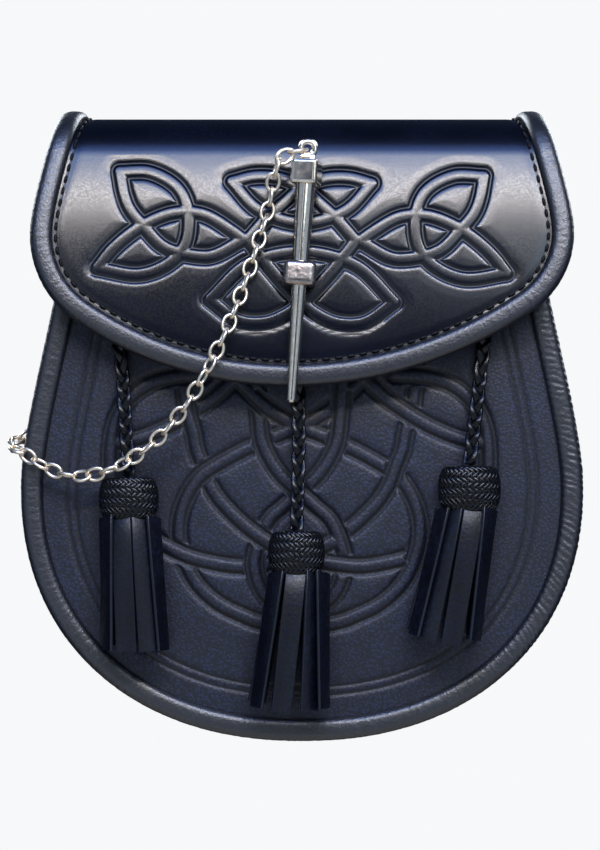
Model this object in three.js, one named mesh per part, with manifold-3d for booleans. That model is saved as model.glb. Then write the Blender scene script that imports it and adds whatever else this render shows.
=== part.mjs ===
// A leather belt pouch with a knotwork flap, a closing pin on a chain and three tassels.
// Millimetres. +X is the wearer's left as seen from the front, -Y is the front and +Z is up.
// The origin is on the belt's line, midway between the two belt loops on the back.

import * as THREE from 'three';
import { RoundedBoxGeometry } from 'three/addons/geometries/RoundedBoxGeometry.js';
import { mergeVertices } from 'three/addons/utils/BufferGeometryUtils.js';
import Module from 'manifold-3d';

const wasm = await Module();
wasm.setup();

const vec = (x, y, z) => new THREE.Vector3(x, y, z);
const GAP = 0.3;

// ---------------------------------------------------------------- sizes

// The body, seen from the front
const BODY_HALF = 96.7; // half its greatest width
const WIDEST_Z = -82.2;
const BASE_DROP = 87.4; // from the widest place down to the lowest point
const BASE_POWER = 2.2; // the base is a superellipse
const WAIST_HALF = 78.5; // half the width where the roll starts
const MOUTH_Z = 10.5; // the front panel's top edge

// The sheet that makes the back, the roll and the flap
const SHEET = 2.2;
const BACK_Y = -4.1; // the back's mid-surface
const ROLL_R = 19;
const ROLL_Z = 25;
const ROLL_TURN = THREE.MathUtils.degToRad(160.5);
const FRONT_R = 224; // the flap's front is a large arc
const FLAP_END = 103.8; // from the roll's top to the flap's lower edge
const FLAP_HALF = 93.2;
const FLAP_BASE_R = 139;
const FLAP_CORNER_R = 34.8;
const FLAP_SKEW = 0.035; // the flap's lower edge rises to the right

// The front panel
const PANEL = 2;
const PANEL_Y = -40; // its mid-surface at the rim
const BULGE = 3.5;
const FLAT_RIM = 8.6;

// The piped bindings: a round roll with a slot for the leather's edge
const PIPE_R = 3.9;
const PIPE_SLOT = 4.5;
const EDGE_INSET = 3.6; // how far the leather's edge lies inside the outline

// The pin lies on the flap, through the staple's block
const BLOCK = { width: 11.2, depth: 8.4, height: 8.6, round: 1.8, off: 0.5 };
const BLOCK_X = -0.8;
const BLOCK_Z = -9.3;
const BORE_R = 3.05;
const NECK = { width: 5, height: 3, slack: 0.6 }; // it goes through a slot in the flap
const FOOT = { width: 14, height: 9, thickness: 1.2 }; // it lies on the front panel
const PIN_DIRECTION = vec(0.0667, 0.123, 1).normalize();
const PIN_LENGTH = 75.5; // the shaft, from under the head to the tip
const PIN_TOP_R = 3.4;
const PIN_TIP_R = 1.6;
const HEAD = { side: 9.2, height: 8.4, turn: THREE.MathUtils.degToRad(-14), chamfer: 0.9 };
const EYE = { r: 2.4, wire: 1.1, up: 4.2 };
const EYE_NECK = { width: 5, height: 2.6, up: 0.8 };
const HEAD_UP = 35; // from the block's centre up to the head's

// The chain's links
const LINK = { width: 5.5, wire: 0.92, slack: 0.3, count: 39 };

// ---------------------------------------------------------------- materials

const leather = new THREE.MeshStandardMaterial({ color: 0x171a24, roughness: 0.5 });
const binding = new THREE.MeshStandardMaterial({ color: 0x11131c, roughness: 0.45 });
const thong = new THREE.MeshStandardMaterial({ color: 0x0d0e14, roughness: 0.4 });
const nickel = new THREE.MeshStandardMaterial({ color: 0xd4d3cf, roughness: 0.2, metalness: 1 });

// ---------------------------------------------------------------- shape tools

// A closed body from points and triangles, turned so that its faces point out
function solid(points, triangles) {
  let volume = 0;
  for (const [a, b, c] of triangles) {
    volume += points[a].dot(points[b].clone().cross(points[c]));
  }
  const index = triangles.flatMap(([a, b, c]) => (volume > 0 ? [a, b, c] : [a, c, b]));
  const geometry = new THREE.BufferGeometry().setFromPoints(points);
  geometry.setIndex(index);
  geometry.computeVertexNormals();
  return geometry;
}

// A body through rings of points. Its ends are closed with the flat outline given for a ring.
function loft(rings, outline, closed = false) {
  const count = rings[0].length;
  const triangles = [];
  const spans = closed ? rings.length : rings.length - 1;
  for (let i = 0; i < spans; i++) {
    const here = i * count;
    const next = ((i + 1) % rings.length) * count;
    for (let j = 0; j < count; j++) {
      const k = (j + 1) % count;
      triangles.push([here + j, here + k, next + k], [here + j, next + k, next + j]);
    }
  }
  if (!closed) {
    const end = (rings.length - 1) * count;
    for (const [a, b, c] of THREE.ShapeUtils.triangulateShape(outline, [])) {
      triangles.push([c, b, a], [end + a, end + b, end + c]);
    }
  }
  return solid(rings.flat(), triangles);
}

function toManifold(geometry) {
  const bare = geometry.index ? geometry.clone() : geometry;
  bare.deleteAttribute('normal');
  bare.deleteAttribute('uv');
  const merged = mergeVertices(bare, 1e-4);
  return new wasm.Manifold(new wasm.Mesh({
    numProp: 3,
    vertProperties: new Float32Array(merged.attributes.position.array),
    triVerts: new Uint32Array(merged.index.array),
  }));
}

function fromManifold(body) {
  const mesh = body.getMesh();
  const geometry = new THREE.BufferGeometry();
  geometry.setAttribute('position', new THREE.BufferAttribute(mesh.vertProperties, 3));
  geometry.setIndex(new THREE.BufferAttribute(mesh.triVerts, 1));
  geometry.computeVertexNormals();
  return geometry;
}

const join = (...parts) => fromManifold(parts.map(toManifold).reduce((a, b) => a.add(b)));
const cut = (from, ...parts) => fromManifold(
  parts.map(toManifold).reduce((a, b) => a.subtract(b), toManifold(from)));

// ---------------------------------------------------------------- outlines

// The right half of the body's outline as (x, z), from the given height down to the lowest point
function bodySide(steps) {
  const side = new THREE.CubicBezierCurve(
    new THREE.Vector2(WAIST_HALF, ROLL_Z), new THREE.Vector2(82, -15),
    new THREE.Vector2(BODY_HALF, -58), new THREE.Vector2(BODY_HALF, WIDEST_Z));
  return side.getPoints(steps);
}

function bodyBase(steps) {
  const points = [];
  for (let i = 1; i <= steps; i++) {
    const angle = (i / steps) * Math.PI / 2;
    const across = Math.max(Math.cos(angle), 0) ** (2 / BASE_POWER);
    const down = Math.sin(angle) ** (2 / BASE_POWER);
    points.push(new THREE.Vector2(BODY_HALF * across, WIDEST_Z - BASE_DROP * down));
  }
  return points;
}

function halfWidth(z) {
  const half = [...bodySide(40), ...bodyBase(40)];
  const below = half.findIndex((point) => point.y <= z);
  if (below < 1) return half[0].x;
  const [a, b] = [half[below - 1], half[below]];
  return a.x + (b.x - a.x) * (z - a.y) / (b.y - a.y);
}

// The front's outline: the right side from the mouth down, then the left side up
function frontOutline() {
  const side = bodySide(9).filter((point) => point.y < MOUTH_Z - 3);
  const right = [new THREE.Vector2(halfWidth(MOUTH_Z), MOUTH_Z), ...side, ...bodyBase(12)];
  const left = right.slice(0, -1).reverse().map((point) => new THREE.Vector2(-point.x, point.y));
  return [...right, ...left];
}

// The sheet's right half, laid flat: x is across, y is the way along it from the roll's top
const rollStart = -ROLL_R * Math.PI / 2;
const frontStart = rollStart + ROLL_R * ROLL_TURN;

function sheetHalf() {
  const points = [];
  const cornerAngle = THREE.MathUtils.degToRad(34.1);
  for (let i = 0; i <= 6; i++) {
    const angle = cornerAngle * i / 6;
    points.push(new THREE.Vector2(
      FLAP_BASE_R * Math.sin(angle), FLAP_END - FLAP_BASE_R * (1 - Math.cos(angle))));
  }
  const centre = points.at(-1).clone().sub(new THREE.Vector2(
    FLAP_CORNER_R * Math.sin(cornerAngle), FLAP_CORNER_R * Math.cos(cornerAngle)));
  for (let i = 1; i <= 5; i++) {
    const angle = cornerAngle + (Math.PI / 2 - cornerAngle) * i / 5;
    points.push(new THREE.Vector2(
      centre.x + FLAP_CORNER_R * Math.sin(angle), centre.y + FLAP_CORNER_R * Math.cos(angle)));
  }
  const side = new THREE.CubicBezierCurve(
    new THREE.Vector2(FLAP_HALF, points.at(-1).y), new THREE.Vector2(FLAP_HALF, 35),
    new THREE.Vector2(79, -2), new THREE.Vector2(WAIST_HALF, rollStart));
  points.push(...side.getPoints(18).slice(1));
  const back = [...bodySide(7).slice(1), ...bodyBase(11)];
  points.push(...back.map((point) => new THREE.Vector2(point.x, point.y - ROLL_Z + rollStart)));
  return points;
}

// Each point of an outline moved inward, on outlines that run clockwise
function inset(points, distance, closed = false) {
  const count = points.length;
  return points.map((point, i) => {
    const before = points[closed ? (i - 1 + count) % count : Math.max(i - 1, 0)];
    const after = points[closed ? (i + 1) % count : Math.min(i + 1, count - 1)];
    const along = after.clone().sub(before).normalize();
    return point.clone().add(new THREE.Vector2(along.y, -along.x).multiplyScalar(distance));
  });
}

// ---------------------------------------------------------------- surfaces

// The sheet's mid-surface and its outer normal at a distance along it from the roll's top
const frontCentre = new THREE.Vector2(
  BACK_Y - ROLL_R + (ROLL_R - FRONT_R) * Math.cos(ROLL_TURN),
  ROLL_Z + (ROLL_R - FRONT_R) * Math.sin(ROLL_TURN));

function sheetProfile(along) {
  if (along < rollStart) return { y: BACK_Y, z: ROLL_Z + along - rollStart, ny: 1, nz: 0 };
  if (along < frontStart) {
    const angle = (along - rollStart) / ROLL_R;
    const [ny, nz] = [Math.cos(angle), Math.sin(angle)];
    return { y: BACK_Y - ROLL_R + ROLL_R * ny, z: ROLL_Z + ROLL_R * nz, ny, nz };
  }
  const angle = ROLL_TURN + (along - frontStart) / FRONT_R;
  const [ny, nz] = [Math.cos(angle), Math.sin(angle)];
  return { y: frontCentre.x + FRONT_R * ny, z: frontCentre.y + FRONT_R * nz, ny, nz };
}

function onSheet(across, along, out) {
  const reach = THREE.MathUtils.clamp((along - frontStart) / (FLAP_END - frontStart), 0, 1);
  const at = sheetProfile(along - FLAP_SKEW * across * reach ** 2);
  return vec(across, at.y + at.ny * out, at.z + at.nz * out);
}

// The flap's outer face at a height
const flapFace = (z) => frontCentre.x - Math.sqrt(FRONT_R ** 2 - (z - frontCentre.y) ** 2) - SHEET / 2;

// How far the front panel bulges at a place
function bulge(x, z) {
  const middle = (MOUTH_Z + WIDEST_Z - BASE_DROP + FLAT_RIM) / 2;
  const reach = MOUTH_Z - middle;
  const side = 1 - (x / Math.max(halfWidth(z) - FLAT_RIM, 1)) ** 2;
  const height = 1 - ((z - middle) / reach) ** 2;
  return side > 0 && height > 0 ? BULGE * side * height : 0;
}

const panelFace = (x, z) => PANEL_Y - PANEL / 2 - bulge(x, z);

// ---------------------------------------------------------------- leather pieces

// A piped binding's section: (inward, out) from the pipe's centre
function pipeSection(thickness) {
  const half = thickness / 2 + GAP;
  const lip = Math.asin(half / PIPE_R);
  const points = [];
  for (let i = 0; i <= 8; i++) {
    const angle = lip + (2 * Math.PI - 2 * lip) * i / 8;
    points.push(new THREE.Vector2(PIPE_R * Math.cos(angle), PIPE_R * Math.sin(angle)));
  }
  const foot = PIPE_R - PIPE_SLOT;
  points.push(new THREE.Vector2(foot, -half), new THREE.Vector2(foot, half));
  return points;
}

function backAndFlap() {
  const rows = inset(sheetHalf(), EDGE_INSET).slice(1, -1);
  const outline = [[1, 1], [-1, 1], [-1, -1], [1, -1]].map(([x, y]) => new THREE.Vector2(x, y));
  const rings = rows.map((row) => outline.map(
    (corner) => onSheet(corner.x * row.x, row.y, corner.y * SHEET / 2)));
  const [width, height] = [NECK.width + 2 * NECK.slack, NECK.height + 2 * NECK.slack];
  const slot = new THREE.BoxGeometry(width, 4 * SHEET, height);
  slot.translate(BLOCK_X, flapFace(BLOCK_Z), BLOCK_Z);
  return cut(loft(rings, outline), slot);
}

function edgeBinding() {
  const right = sheetHalf();
  const left = right.slice(1, -1).reverse().map((point) => new THREE.Vector2(-point.x, point.y));
  const loop = [...right, ...left];
  const centres = inset(loop, PIPE_R, true);
  const inner = inset(loop, PIPE_R + 1, true);
  const section = pipeSection(SHEET);
  const rings = centres.map((centre, i) => section.map((point) => {
    const place = centre.clone().lerp(inner[i], point.x);
    return onSheet(place.x, place.y, point.y);
  }));
  return loft(rings, section, true);
}

const LOWEST_ROW = 8; // half the width of the panel's lowest row at least

function frontPanel() {
  const rows = inset(frontOutline(), EDGE_INSET).filter((row) => row.x > LOWEST_ROW);
  const rings = rows.map((row) => {
    const flat = Math.max(row.x - (FLAT_RIM - EDGE_INSET), row.x / 2);
    const columns = [1, 2 / 3, 1 / 3, 0, -1 / 3, -2 / 3, -1].map((part) => part * flat);
    const xs = [row.x, ...columns, -row.x];
    const front = xs.map((x) => vec(x, panelFace(x, row.y), row.y));
    const rear = xs.map((x) => vec(x, panelFace(x, row.y) + PANEL, row.y)).reverse();
    return [...front, ...rear];
  });
  const outline = rings[0].map((point) => new THREE.Vector2(point.x, -point.y));
  return loft(rings, outline);
}

function frontBinding() {
  const line = frontOutline();
  const centres = inset(line, PIPE_R);
  const inner = inset(line, PIPE_R + 1);
  const section = pipeSection(PANEL);
  const rings = centres.map((centre, i) => section.map((point) => {
    const place = centre.clone().lerp(inner[i], point.x);
    return vec(place.x, PANEL_Y - point.y, place.y);
  }));
  return loft(rings, section);
}

// The gusset's outer face: how deep it lies inside the outline, from the back to the front
const GUSSET = [
  { depth: 8.2, y: BACK_Y - SHEET / 2 - GAP },
  { depth: 10.6, y: -13 },
  { depth: 17, y: -22.1 },
  { depth: 10.6, y: -31.2 },
  { depth: 8.2, y: PANEL_Y + PANEL / 2 + GAP },
];
const GUSSET_WALL = 1.8;
const GUSSET_RISE = 4; // its top edge is this much higher at the back

function gusset() {
  const line = frontOutline();
  const section = [
    ...GUSSET.map((row) => new THREE.Vector2(row.depth, row.y)),
    ...GUSSET.map((row) => new THREE.Vector2(row.depth + GUSSET_WALL, row.y)).reverse(),
  ];
  const sides = section.map((point) => inset(line, point.x));
  const rings = line.map((_, i) => section.map((point, j) => {
    const place = sides[j][i];
    const end = i === 0 || i === line.length - 1;
    const rise = end ? GUSSET_RISE * (point.y - PANEL_Y) / (BACK_Y - PANEL_Y) : 0;
    return vec(place.x, point.y, place.y + rise);
  }));
  return loft(rings, section);
}

// A strap that stands off the back between two pads: half its heights, and its inner face's place
const LOOP = { x: 38, width: 20, strap: 2.2, pad: 24, opening: 16, slope: 3, face: 3 };

function beltLoop() {
  const rest = BACK_Y + SHEET / 2 + GAP;
  const { pad, opening, slope, face, strap } = LOOP;
  const inner = [[pad, rest], [opening, rest], [opening - slope, face]];
  const outer = [[pad, rest + strap], [opening + 1, rest + strap], [opening - slope + 1, face + strap]];
  const flip = ([z, y]) => [-z, y];
  const outline = [...inner.map(flip), ...inner.toReversed(), ...outer, ...outer.map(flip).toReversed()]
    .map(([z, y]) => new THREE.Vector2(z, y));
  const rings = [-LOOP.width / 2, LOOP.width / 2].map(
    (x) => outline.map((point) => vec(x, point.y, point.x)));
  return loft(rings, outline);
}

// ---------------------------------------------------------------- metal pieces

// The pin's own frame: its origin is the block's centre and its axis is +Z
const blockCentre = vec(BLOCK_X, flapFace(BLOCK_Z) - BLOCK.off - BLOCK.depth / 2, BLOCK_Z);
const shaftTop = HEAD_UP - HEAD.height / 2;

function closingPin() {
  const shaftEnd = shaftTop - PIN_LENGTH;
  const profile = [
    [0, shaftEnd], [0.9, shaftEnd + 0.25], [PIN_TIP_R, shaftEnd + 1.4],
    [PIN_TOP_R, shaftTop], [PIN_TOP_R, shaftTop + 1], [0, shaftTop + 1],
  ].map(([r, z]) => new THREE.Vector2(r, z));
  const shaft = new THREE.LatheGeometry(profile, 14).rotateX(Math.PI / 2);
  const side = HEAD.side / 2;
  const rings = [
    [side, 0], [side, HEAD.height - HEAD.chamfer], [side - HEAD.chamfer, HEAD.height],
  ].map(([half, z]) => [[1, 1], [-1, 1], [-1, -1], [1, -1]].map(
    ([x, y]) => vec(half * x, half * y, shaftTop + z)));
  const square = rings[0].map((point) => new THREE.Vector2(point.x, point.y));
  const head = loft(rings, square).rotateZ(HEAD.turn);
  const eye = new THREE.TorusGeometry(EYE.r, EYE.wire, 6, 14).rotateX(Math.PI / 2);
  eye.translate(0, 0, shaftTop + HEAD.height + EYE.up);
  const neck = new THREE.BoxGeometry(EYE_NECK.width, 2 * EYE.wire, EYE_NECK.height);
  neck.translate(0, 0, shaftTop + HEAD.height + EYE_NECK.up);
  return join(shaft, head, eye, neck);
}

function staple() {
  const block = new RoundedBoxGeometry(BLOCK.width, BLOCK.depth, BLOCK.height, 1, BLOCK.round);
  block.applyQuaternion(pinTurn);
  block.translate(...blockCentre);
  const bore = new THREE.CylinderGeometry(BORE_R, BORE_R, 3 * BLOCK.height, 16).rotateX(Math.PI / 2);
  bore.applyQuaternion(pinTurn);
  bore.translate(...blockCentre);
  const footY = panelFace(BLOCK_X, BLOCK_Z) - GAP - 0.2 - FOOT.thickness / 2;
  const neckEnd = blockCentre.y + BLOCK.depth / 2 - 1;
  const neck = new THREE.BoxGeometry(NECK.width, footY - neckEnd, NECK.height);
  neck.translate(BLOCK_X, (footY + neckEnd) / 2, BLOCK_Z);
  const foot = new THREE.BoxGeometry(FOOT.width, FOOT.thickness, FOOT.height);
  foot.translate(BLOCK_X, footY, BLOCK_Z);
  return cut(join(block, neck, foot), bore);
}

const pinTurn = new THREE.Quaternion().setFromUnitVectors(vec(0, 0, 1), PIN_DIRECTION);

// A plate on the left gusset with a ring that stands out of it
const ANCHOR = { x: -82.4, y: -25.7, z: -62.5, lean: THREE.MathUtils.degToRad(35) };

function chainAnchor() {
  const plate = new THREE.CylinderGeometry(4, 4, 1, 12).rotateZ(Math.PI / 2);
  plate.translate(0.9, 0, 0);
  const ring = new THREE.TorusGeometry(2.2, 0.7, 5, 12);
  ring.translate(-1.5, 0, 0);
  return join(plate, ring);
}

// ---------------------------------------------------------------- the chain

// The chain's way, chosen by hand, from the pin's eye down over the flap and round the left side
const CHAIN_WAY = [
  [1.1, -51.7, 33.2], [-4.3, -53.1, 32.2], [-8.3, -53.8, 28.8], [-9.7, -52.9, 23.6],
  [-11.0, -51.3, 15.5], [-15.4, -54.0, 0.3], [-20.5, -57.0, -15.1], [-26.4, -60.3, -29.9],
  [-33.5, -61.2, -44.1], [-41.3, -60.2, -56.6], [-52.0, -57.6, -68.0], [-64.5, -55.0, -75.8],
  [-72.9, -52.4, -78.2], [-82.0, -49.6, -77.8], [-90.8, -47.8, -73.5], [-95.6, -46.6, -70.4],
  [-99.2, -43.4, -68.6], [-99.9, -38.4, -67.0], [-97.3, -34.4, -65.6], [-93.1, -31.6, -64.4],
  [-88.9, -28.5, -63.3], [-84.6, -25.5, -62.5],
].map(([x, y, z]) => vec(x, y, z));

// Between these links the chain twists a little, so that they stand 60 degrees apart
const TWISTED = [[16, 19], [25, 31]];

function linkRoll(number) {
  const given = TWISTED.map(([from, to]) => THREE.MathUtils.clamp(number, from, to) - from);
  const turns = 90 * number - 30 * given.reduce((a, b) => a + b);
  return THREE.MathUtils.degToRad(turns);
}

// One link, as long as it must be to hold the next ones at the given pitch
function chainLink(pitch) {
  const straight = (pitch + 2 * LINK.wire + LINK.slack - LINK.width) / 2;
  const bend = (LINK.width - LINK.wire) / 2;
  const rings = [];
  for (const end of [0, 1]) {
    for (let i = 0; i < 5; i++) {
      const angle = (i / 4 - 0.5 + end) * Math.PI;
      const out = vec(Math.cos(angle), Math.sin(angle), 0);
      const centre = vec(end ? -straight : straight, 0, 0).addScaledVector(out, bend);
      rings.push([[1, 0], [0, 1], [-1, 0], [0, -1]].map(([side, up]) => centre.clone()
        .addScaledVector(out, side * LINK.wire / 2).add(vec(0, 0, up * LINK.wire / 2))));
    }
  }
  return loft(rings, null, true);
}

// Each link reaches from one hold to the next, and its roll is measured from a carried normal
function addChain(group) {
  const way = new THREE.CatmullRomCurve3(CHAIN_WAY, false, 'centripetal');
  way.arcLengthDivisions = 800;
  const holds = [];
  for (let i = 0; i <= LINK.count; i++) holds.push(way.getPointAt(i / LINK.count));
  const shape = chainLink(way.getLength() / LINK.count);
  const normal = vec(0, -1, 0);
  for (let number = 1; number <= LINK.count; number++) {
    const [from, to] = [holds[number - 1], holds[number]];
    const along = to.clone().sub(from).normalize();
    normal.addScaledVector(along, -normal.dot(along)).normalize();
    const link = new THREE.Mesh(shape, nickel);
    link.name = `chain_link_${String(number).padStart(2, '0')}`;
    link.position.copy(from).lerp(to, 0.5);
    link.quaternion.setFromRotationMatrix(
      new THREE.Matrix4().makeBasis(along, normal.clone().cross(along), normal));
    link.rotateX(linkRoll(number));
    group.add(link);
  }
}

// ---------------------------------------------------------------- the tassels

// One row for each tassel: where its thong comes out of the front, the knob's centre and size,
// and how the fringe hangs under it. lean is the fringe's swing to the right.
const CORD_D = 4.6;
const TASSELS = [
  { name: 'left', way: [[-63.3, -29.9], [-61.9, -40], [-60.4, -62]], knob: [-59.3, -86],
    width: 20.6, height: 15.1, lean: 0.2, length: 44.7, spread: 23.4 },
  { name: 'middle', way: [[-1.9, -36.5], [-1.2, -52.3], [-1.2, -76]], knob: [-1.9, -104.7],
    width: 19.6, height: 15.5, lean: -3.2, length: 46.4, spread: 33 },
  { name: 'right', way: [[62.6, -30.5], [61, -45.4], [58.9, -62]], knob: [57.3, -82.7],
    width: 21.7, height: 16.2, lean: -5.3, length: 44.5, spread: 24 },
];
const KNOB_DEPTH = 13.5;
const FRINGE = [
  { strips: 9, reach: 1, length: 1 },
  { strips: 4, reach: 0.45, length: 0.98 },
];
const FRINGE_HEAD = { width: 0.8, depth: 0.72, height: 5 }; // the first two as parts of the knob's
const STRIP = { half: 2.2, flare: 0.9, thickness: 1.3 };
const CORD_STEPS = 12;

function tasselCord({ way, knob, height }) {
  const radius = CORD_D / 2;
  const knobY = panelFace(knob[0], knob[1]) - GAP - KNOB_DEPTH / 2;
  const [outX, outZ] = way[0];
  const face = panelFace(outX, outZ) - GAP;
  const top = knob[1] + height / 2 + GAP;
  const points = [vec(outX, face, outZ + 2.2), vec(outX, face - 1.6, outZ + 1.6)];
  for (const [x, z] of way) {
    const hang = (z - way[0][1]) / (top - way[0][1]);
    const near = panelFace(x, z) - GAP - radius;
    points.push(vec(x, near + (knobY - near) * hang ** 2, z));
  }
  points.push(vec(knob[0], knobY, top));
  const curve = new THREE.CatmullRomCurve3(points, false, 'centripetal');
  const stations = curve.getSpacedPoints(CORD_STEPS);
  const section = new THREE.Path().absarc(0, 0, 1, 0, 2 * Math.PI).getSpacedPoints(8).slice(0, 8);
  const rings = stations.map((centre, i) => {
    let along = curve.getTangentAt(i / CORD_STEPS);
    if (i === 0) along = vec(0, -1, 0);
    if (i === CORD_STEPS) along = vec(0, 0, -1);
    const across = vec(1, 0, 0).addScaledVector(along, -along.x).normalize();
    const over = across.clone().cross(along);
    return section.map((point) => centre.clone()
      .addScaledVector(across, radius * point.x).addScaledVector(over, radius * point.y));
  });
  return loft(rings, section);
}

function tasselKnob({ width, height }) {
  const profile = [[0, 0.5], [0.42, 0.5], [0.78, 0.36], [0.98, 0.12], [1, -0.14], [0.9, -0.38],
    [0.76, -0.5], [0, -0.5]].map(([r, z]) => new THREE.Vector2(r * width / 2, z * height));
  const body = new THREE.LatheGeometry(profile.toReversed(), 12).rotateX(Math.PI / 2);
  return body.scale(1, KNOB_DEPTH / width, 1);
}

// Strips that hang side by side round an oval, joined to an oval head
function tasselFringe({ width, height, lean, length, spread }) {
  const oval = (along, half, depth) => vec(Math.cos(along) * half, Math.sin(along) * depth, 0);
  const topHalf = width * FRINGE_HEAD.width / 2;
  const topDepth = KNOB_DEPTH * FRINGE_HEAD.depth / 2;
  const head = new THREE.CylinderGeometry(1, 1, FRINGE_HEAD.height, 12).rotateX(Math.PI / 2);
  head.scale(topHalf, topDepth, 1).translate(0, 0, -FRINGE_HEAD.height / 2);
  const outline = [[1, 1], [-1, 1], [-1, -1], [1, -1]].map(([x, y]) => new THREE.Vector2(x, y));
  const strips = [];
  for (const layer of FRINGE) {
    for (let i = 0; i < layer.strips; i++) {
      const along = ((i + 0.5) / layer.strips) * 2 * Math.PI;
      const rings = [0, 0.35, 1].map((part) => {
        const half = layer.reach * (topHalf - 0.6 + (spread / 2 - topHalf - 0.6) * part ** 1.2);
        const depth = layer.reach * (topDepth - 0.6 + part);
        const centre = oval(along, half, depth).add(
          vec(lean * part, 0, -0.5 - (layer.length * length - 0.5) * part));
        const across = oval(along + Math.PI / 2, half, depth).normalize();
        const out = vec(across.y, -across.x, 0);
        return outline.map((corner) => centre.clone()
          .addScaledVector(across, corner.x * (STRIP.half + STRIP.flare * part))
          .addScaledVector(out, corner.y * STRIP.thickness / 2));
      });
      strips.push(loft(rings, outline));
    }
  }
  return join(head, ...strips).translate(0, 0, -height / 2 - GAP);
}

// ---------------------------------------------------------------- assembly

const pouch = new THREE.Group();
pouch.name = 'belt_pouch';

function add(name, geometry, material, parent = pouch) {
  const mesh = new THREE.Mesh(geometry, material);
  mesh.name = name;
  parent.add(mesh);
  return mesh;
}

add('back_and_flap', backAndFlap(), leather);
add('edge_binding', edgeBinding(), binding);
add('front_panel', frontPanel(), leather);
add('front_binding', frontBinding(), binding);
add('gusset', gusset(), leather);
add('belt_loop_left', beltLoop(), leather).position.x = -LOOP.x;
add('belt_loop_right', beltLoop(), leather).position.x = LOOP.x;

add('staple', staple(), nickel);
const pin = add('closing_pin', closingPin(), nickel);
pin.position.copy(blockCentre);
pin.quaternion.copy(pinTurn);

const anchor = add('chain_anchor', chainAnchor(), nickel);
anchor.position.set(ANCHOR.x, ANCHOR.y, ANCHOR.z);
anchor.rotation.z = -ANCHOR.lean;
addChain(pouch);

for (const tassel of TASSELS) {
  const [x, z] = tassel.knob;
  const hanging = new THREE.Group();
  hanging.position.set(x, panelFace(x, z) - GAP - KNOB_DEPTH / 2, z);
  add(`tassel_knot_${tassel.name}`, tasselKnob(tassel), thong, hanging);
  add(`tassel_fringe_${tassel.name}`, tasselFringe(tassel), leather, hanging);
  pouch.add(hanging);
  add(`tassel_cord_${tassel.name}`, tasselCord(tassel), thong);
}

export default pouch;
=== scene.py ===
"""A leather belt pouch with a knotwork flap, a closing pin on a chain and three tassels."""

import math

import bmesh
import bpy
import numpy as np
from mathutils import Matrix, Vector, noise


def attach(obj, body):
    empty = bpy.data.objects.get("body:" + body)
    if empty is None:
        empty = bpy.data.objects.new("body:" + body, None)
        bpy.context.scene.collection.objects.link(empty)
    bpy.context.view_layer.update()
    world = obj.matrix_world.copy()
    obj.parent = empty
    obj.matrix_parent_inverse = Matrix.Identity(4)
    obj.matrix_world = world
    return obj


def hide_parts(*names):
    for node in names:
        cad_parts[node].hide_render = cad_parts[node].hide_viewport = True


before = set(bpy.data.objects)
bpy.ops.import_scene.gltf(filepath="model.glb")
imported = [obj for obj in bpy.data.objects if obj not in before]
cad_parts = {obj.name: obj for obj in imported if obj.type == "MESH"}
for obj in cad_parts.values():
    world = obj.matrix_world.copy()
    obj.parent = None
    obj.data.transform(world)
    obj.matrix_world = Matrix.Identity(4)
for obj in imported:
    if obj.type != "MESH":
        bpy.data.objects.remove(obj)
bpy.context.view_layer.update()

# ---------------------------------------------------------------- the sheet: back, roll and flap
# One sheet of navy black leather, 2.2 mm thick. It is the back, rolls over the top and comes
# down as the flap, and its front is pressed with a knot of bands that lie between two grooves.
# Sizes here and below are in millimetres; a mesh is brought to metres when it is made.

MM = 0.001
# The body: half its width at the roll and where it is widest, and how it rounds off below
WAIST_HALF, BODY_HALF, WIDEST_Z, BASE_DROP, BASE_POWER = 78.5, 96.7, -82.2, 87.4, 2.2
# The sheet's thickness, and its roll over the top
SHEET, BACK_Y, ROLL_R, ROLL_Z, ROLL_TURN = 2.2, -4.1, 19.0, 25.0, math.radians(160.5)
# The flap: the bend of its front, where it ends, half its width, its lower edge and corners
FRONT_R, FLAP_END, FLAP_HALF, FLAP_BASE_R, FLAP_CORNER_R = 224.0, 103.8, 93.2, 139.0, 34.8
FLAP_CORNER_TURN, FLAP_SKEW = math.radians(34.1), 0.035
# How far the leather's own edge lies inside the binding's outer edge
EDGE_INSET = 3.6
# Places along the flat sheet: zero is the top of the roll, and the flap's end is the highest.
# The roll starts at the back, and the flap's front starts where the roll ends.
ROLL_START = -ROLL_R * math.pi / 2
FRONT_START = ROLL_START + ROLL_R * ROLL_TURN
# How many parts or points the curves are drawn with, before they are made even
SPLINE_PARTS, BEZIER_PARTS, BASE_POINTS, CORNER_POINTS = 24, 60, 181, 41


def run_along(points):
    """How far along a line each of its points is."""
    return np.concatenate([[0], np.cumsum(np.linalg.norm(np.diff(points, axis=0), axis=1))])


def even(points, step, closed=False):
    """Points at even steps of about the given length along a line."""
    points = np.asarray(points, float)
    if closed:
        points = np.concatenate([points, points[:1]])
    run = run_along(points)
    at = np.linspace(0, run[-1], max(2, round(run[-1] / step)) + 1)
    if closed:
        at = at[:-1]
    return np.stack([np.interp(at, run, column) for column in points.T], 1)


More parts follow.
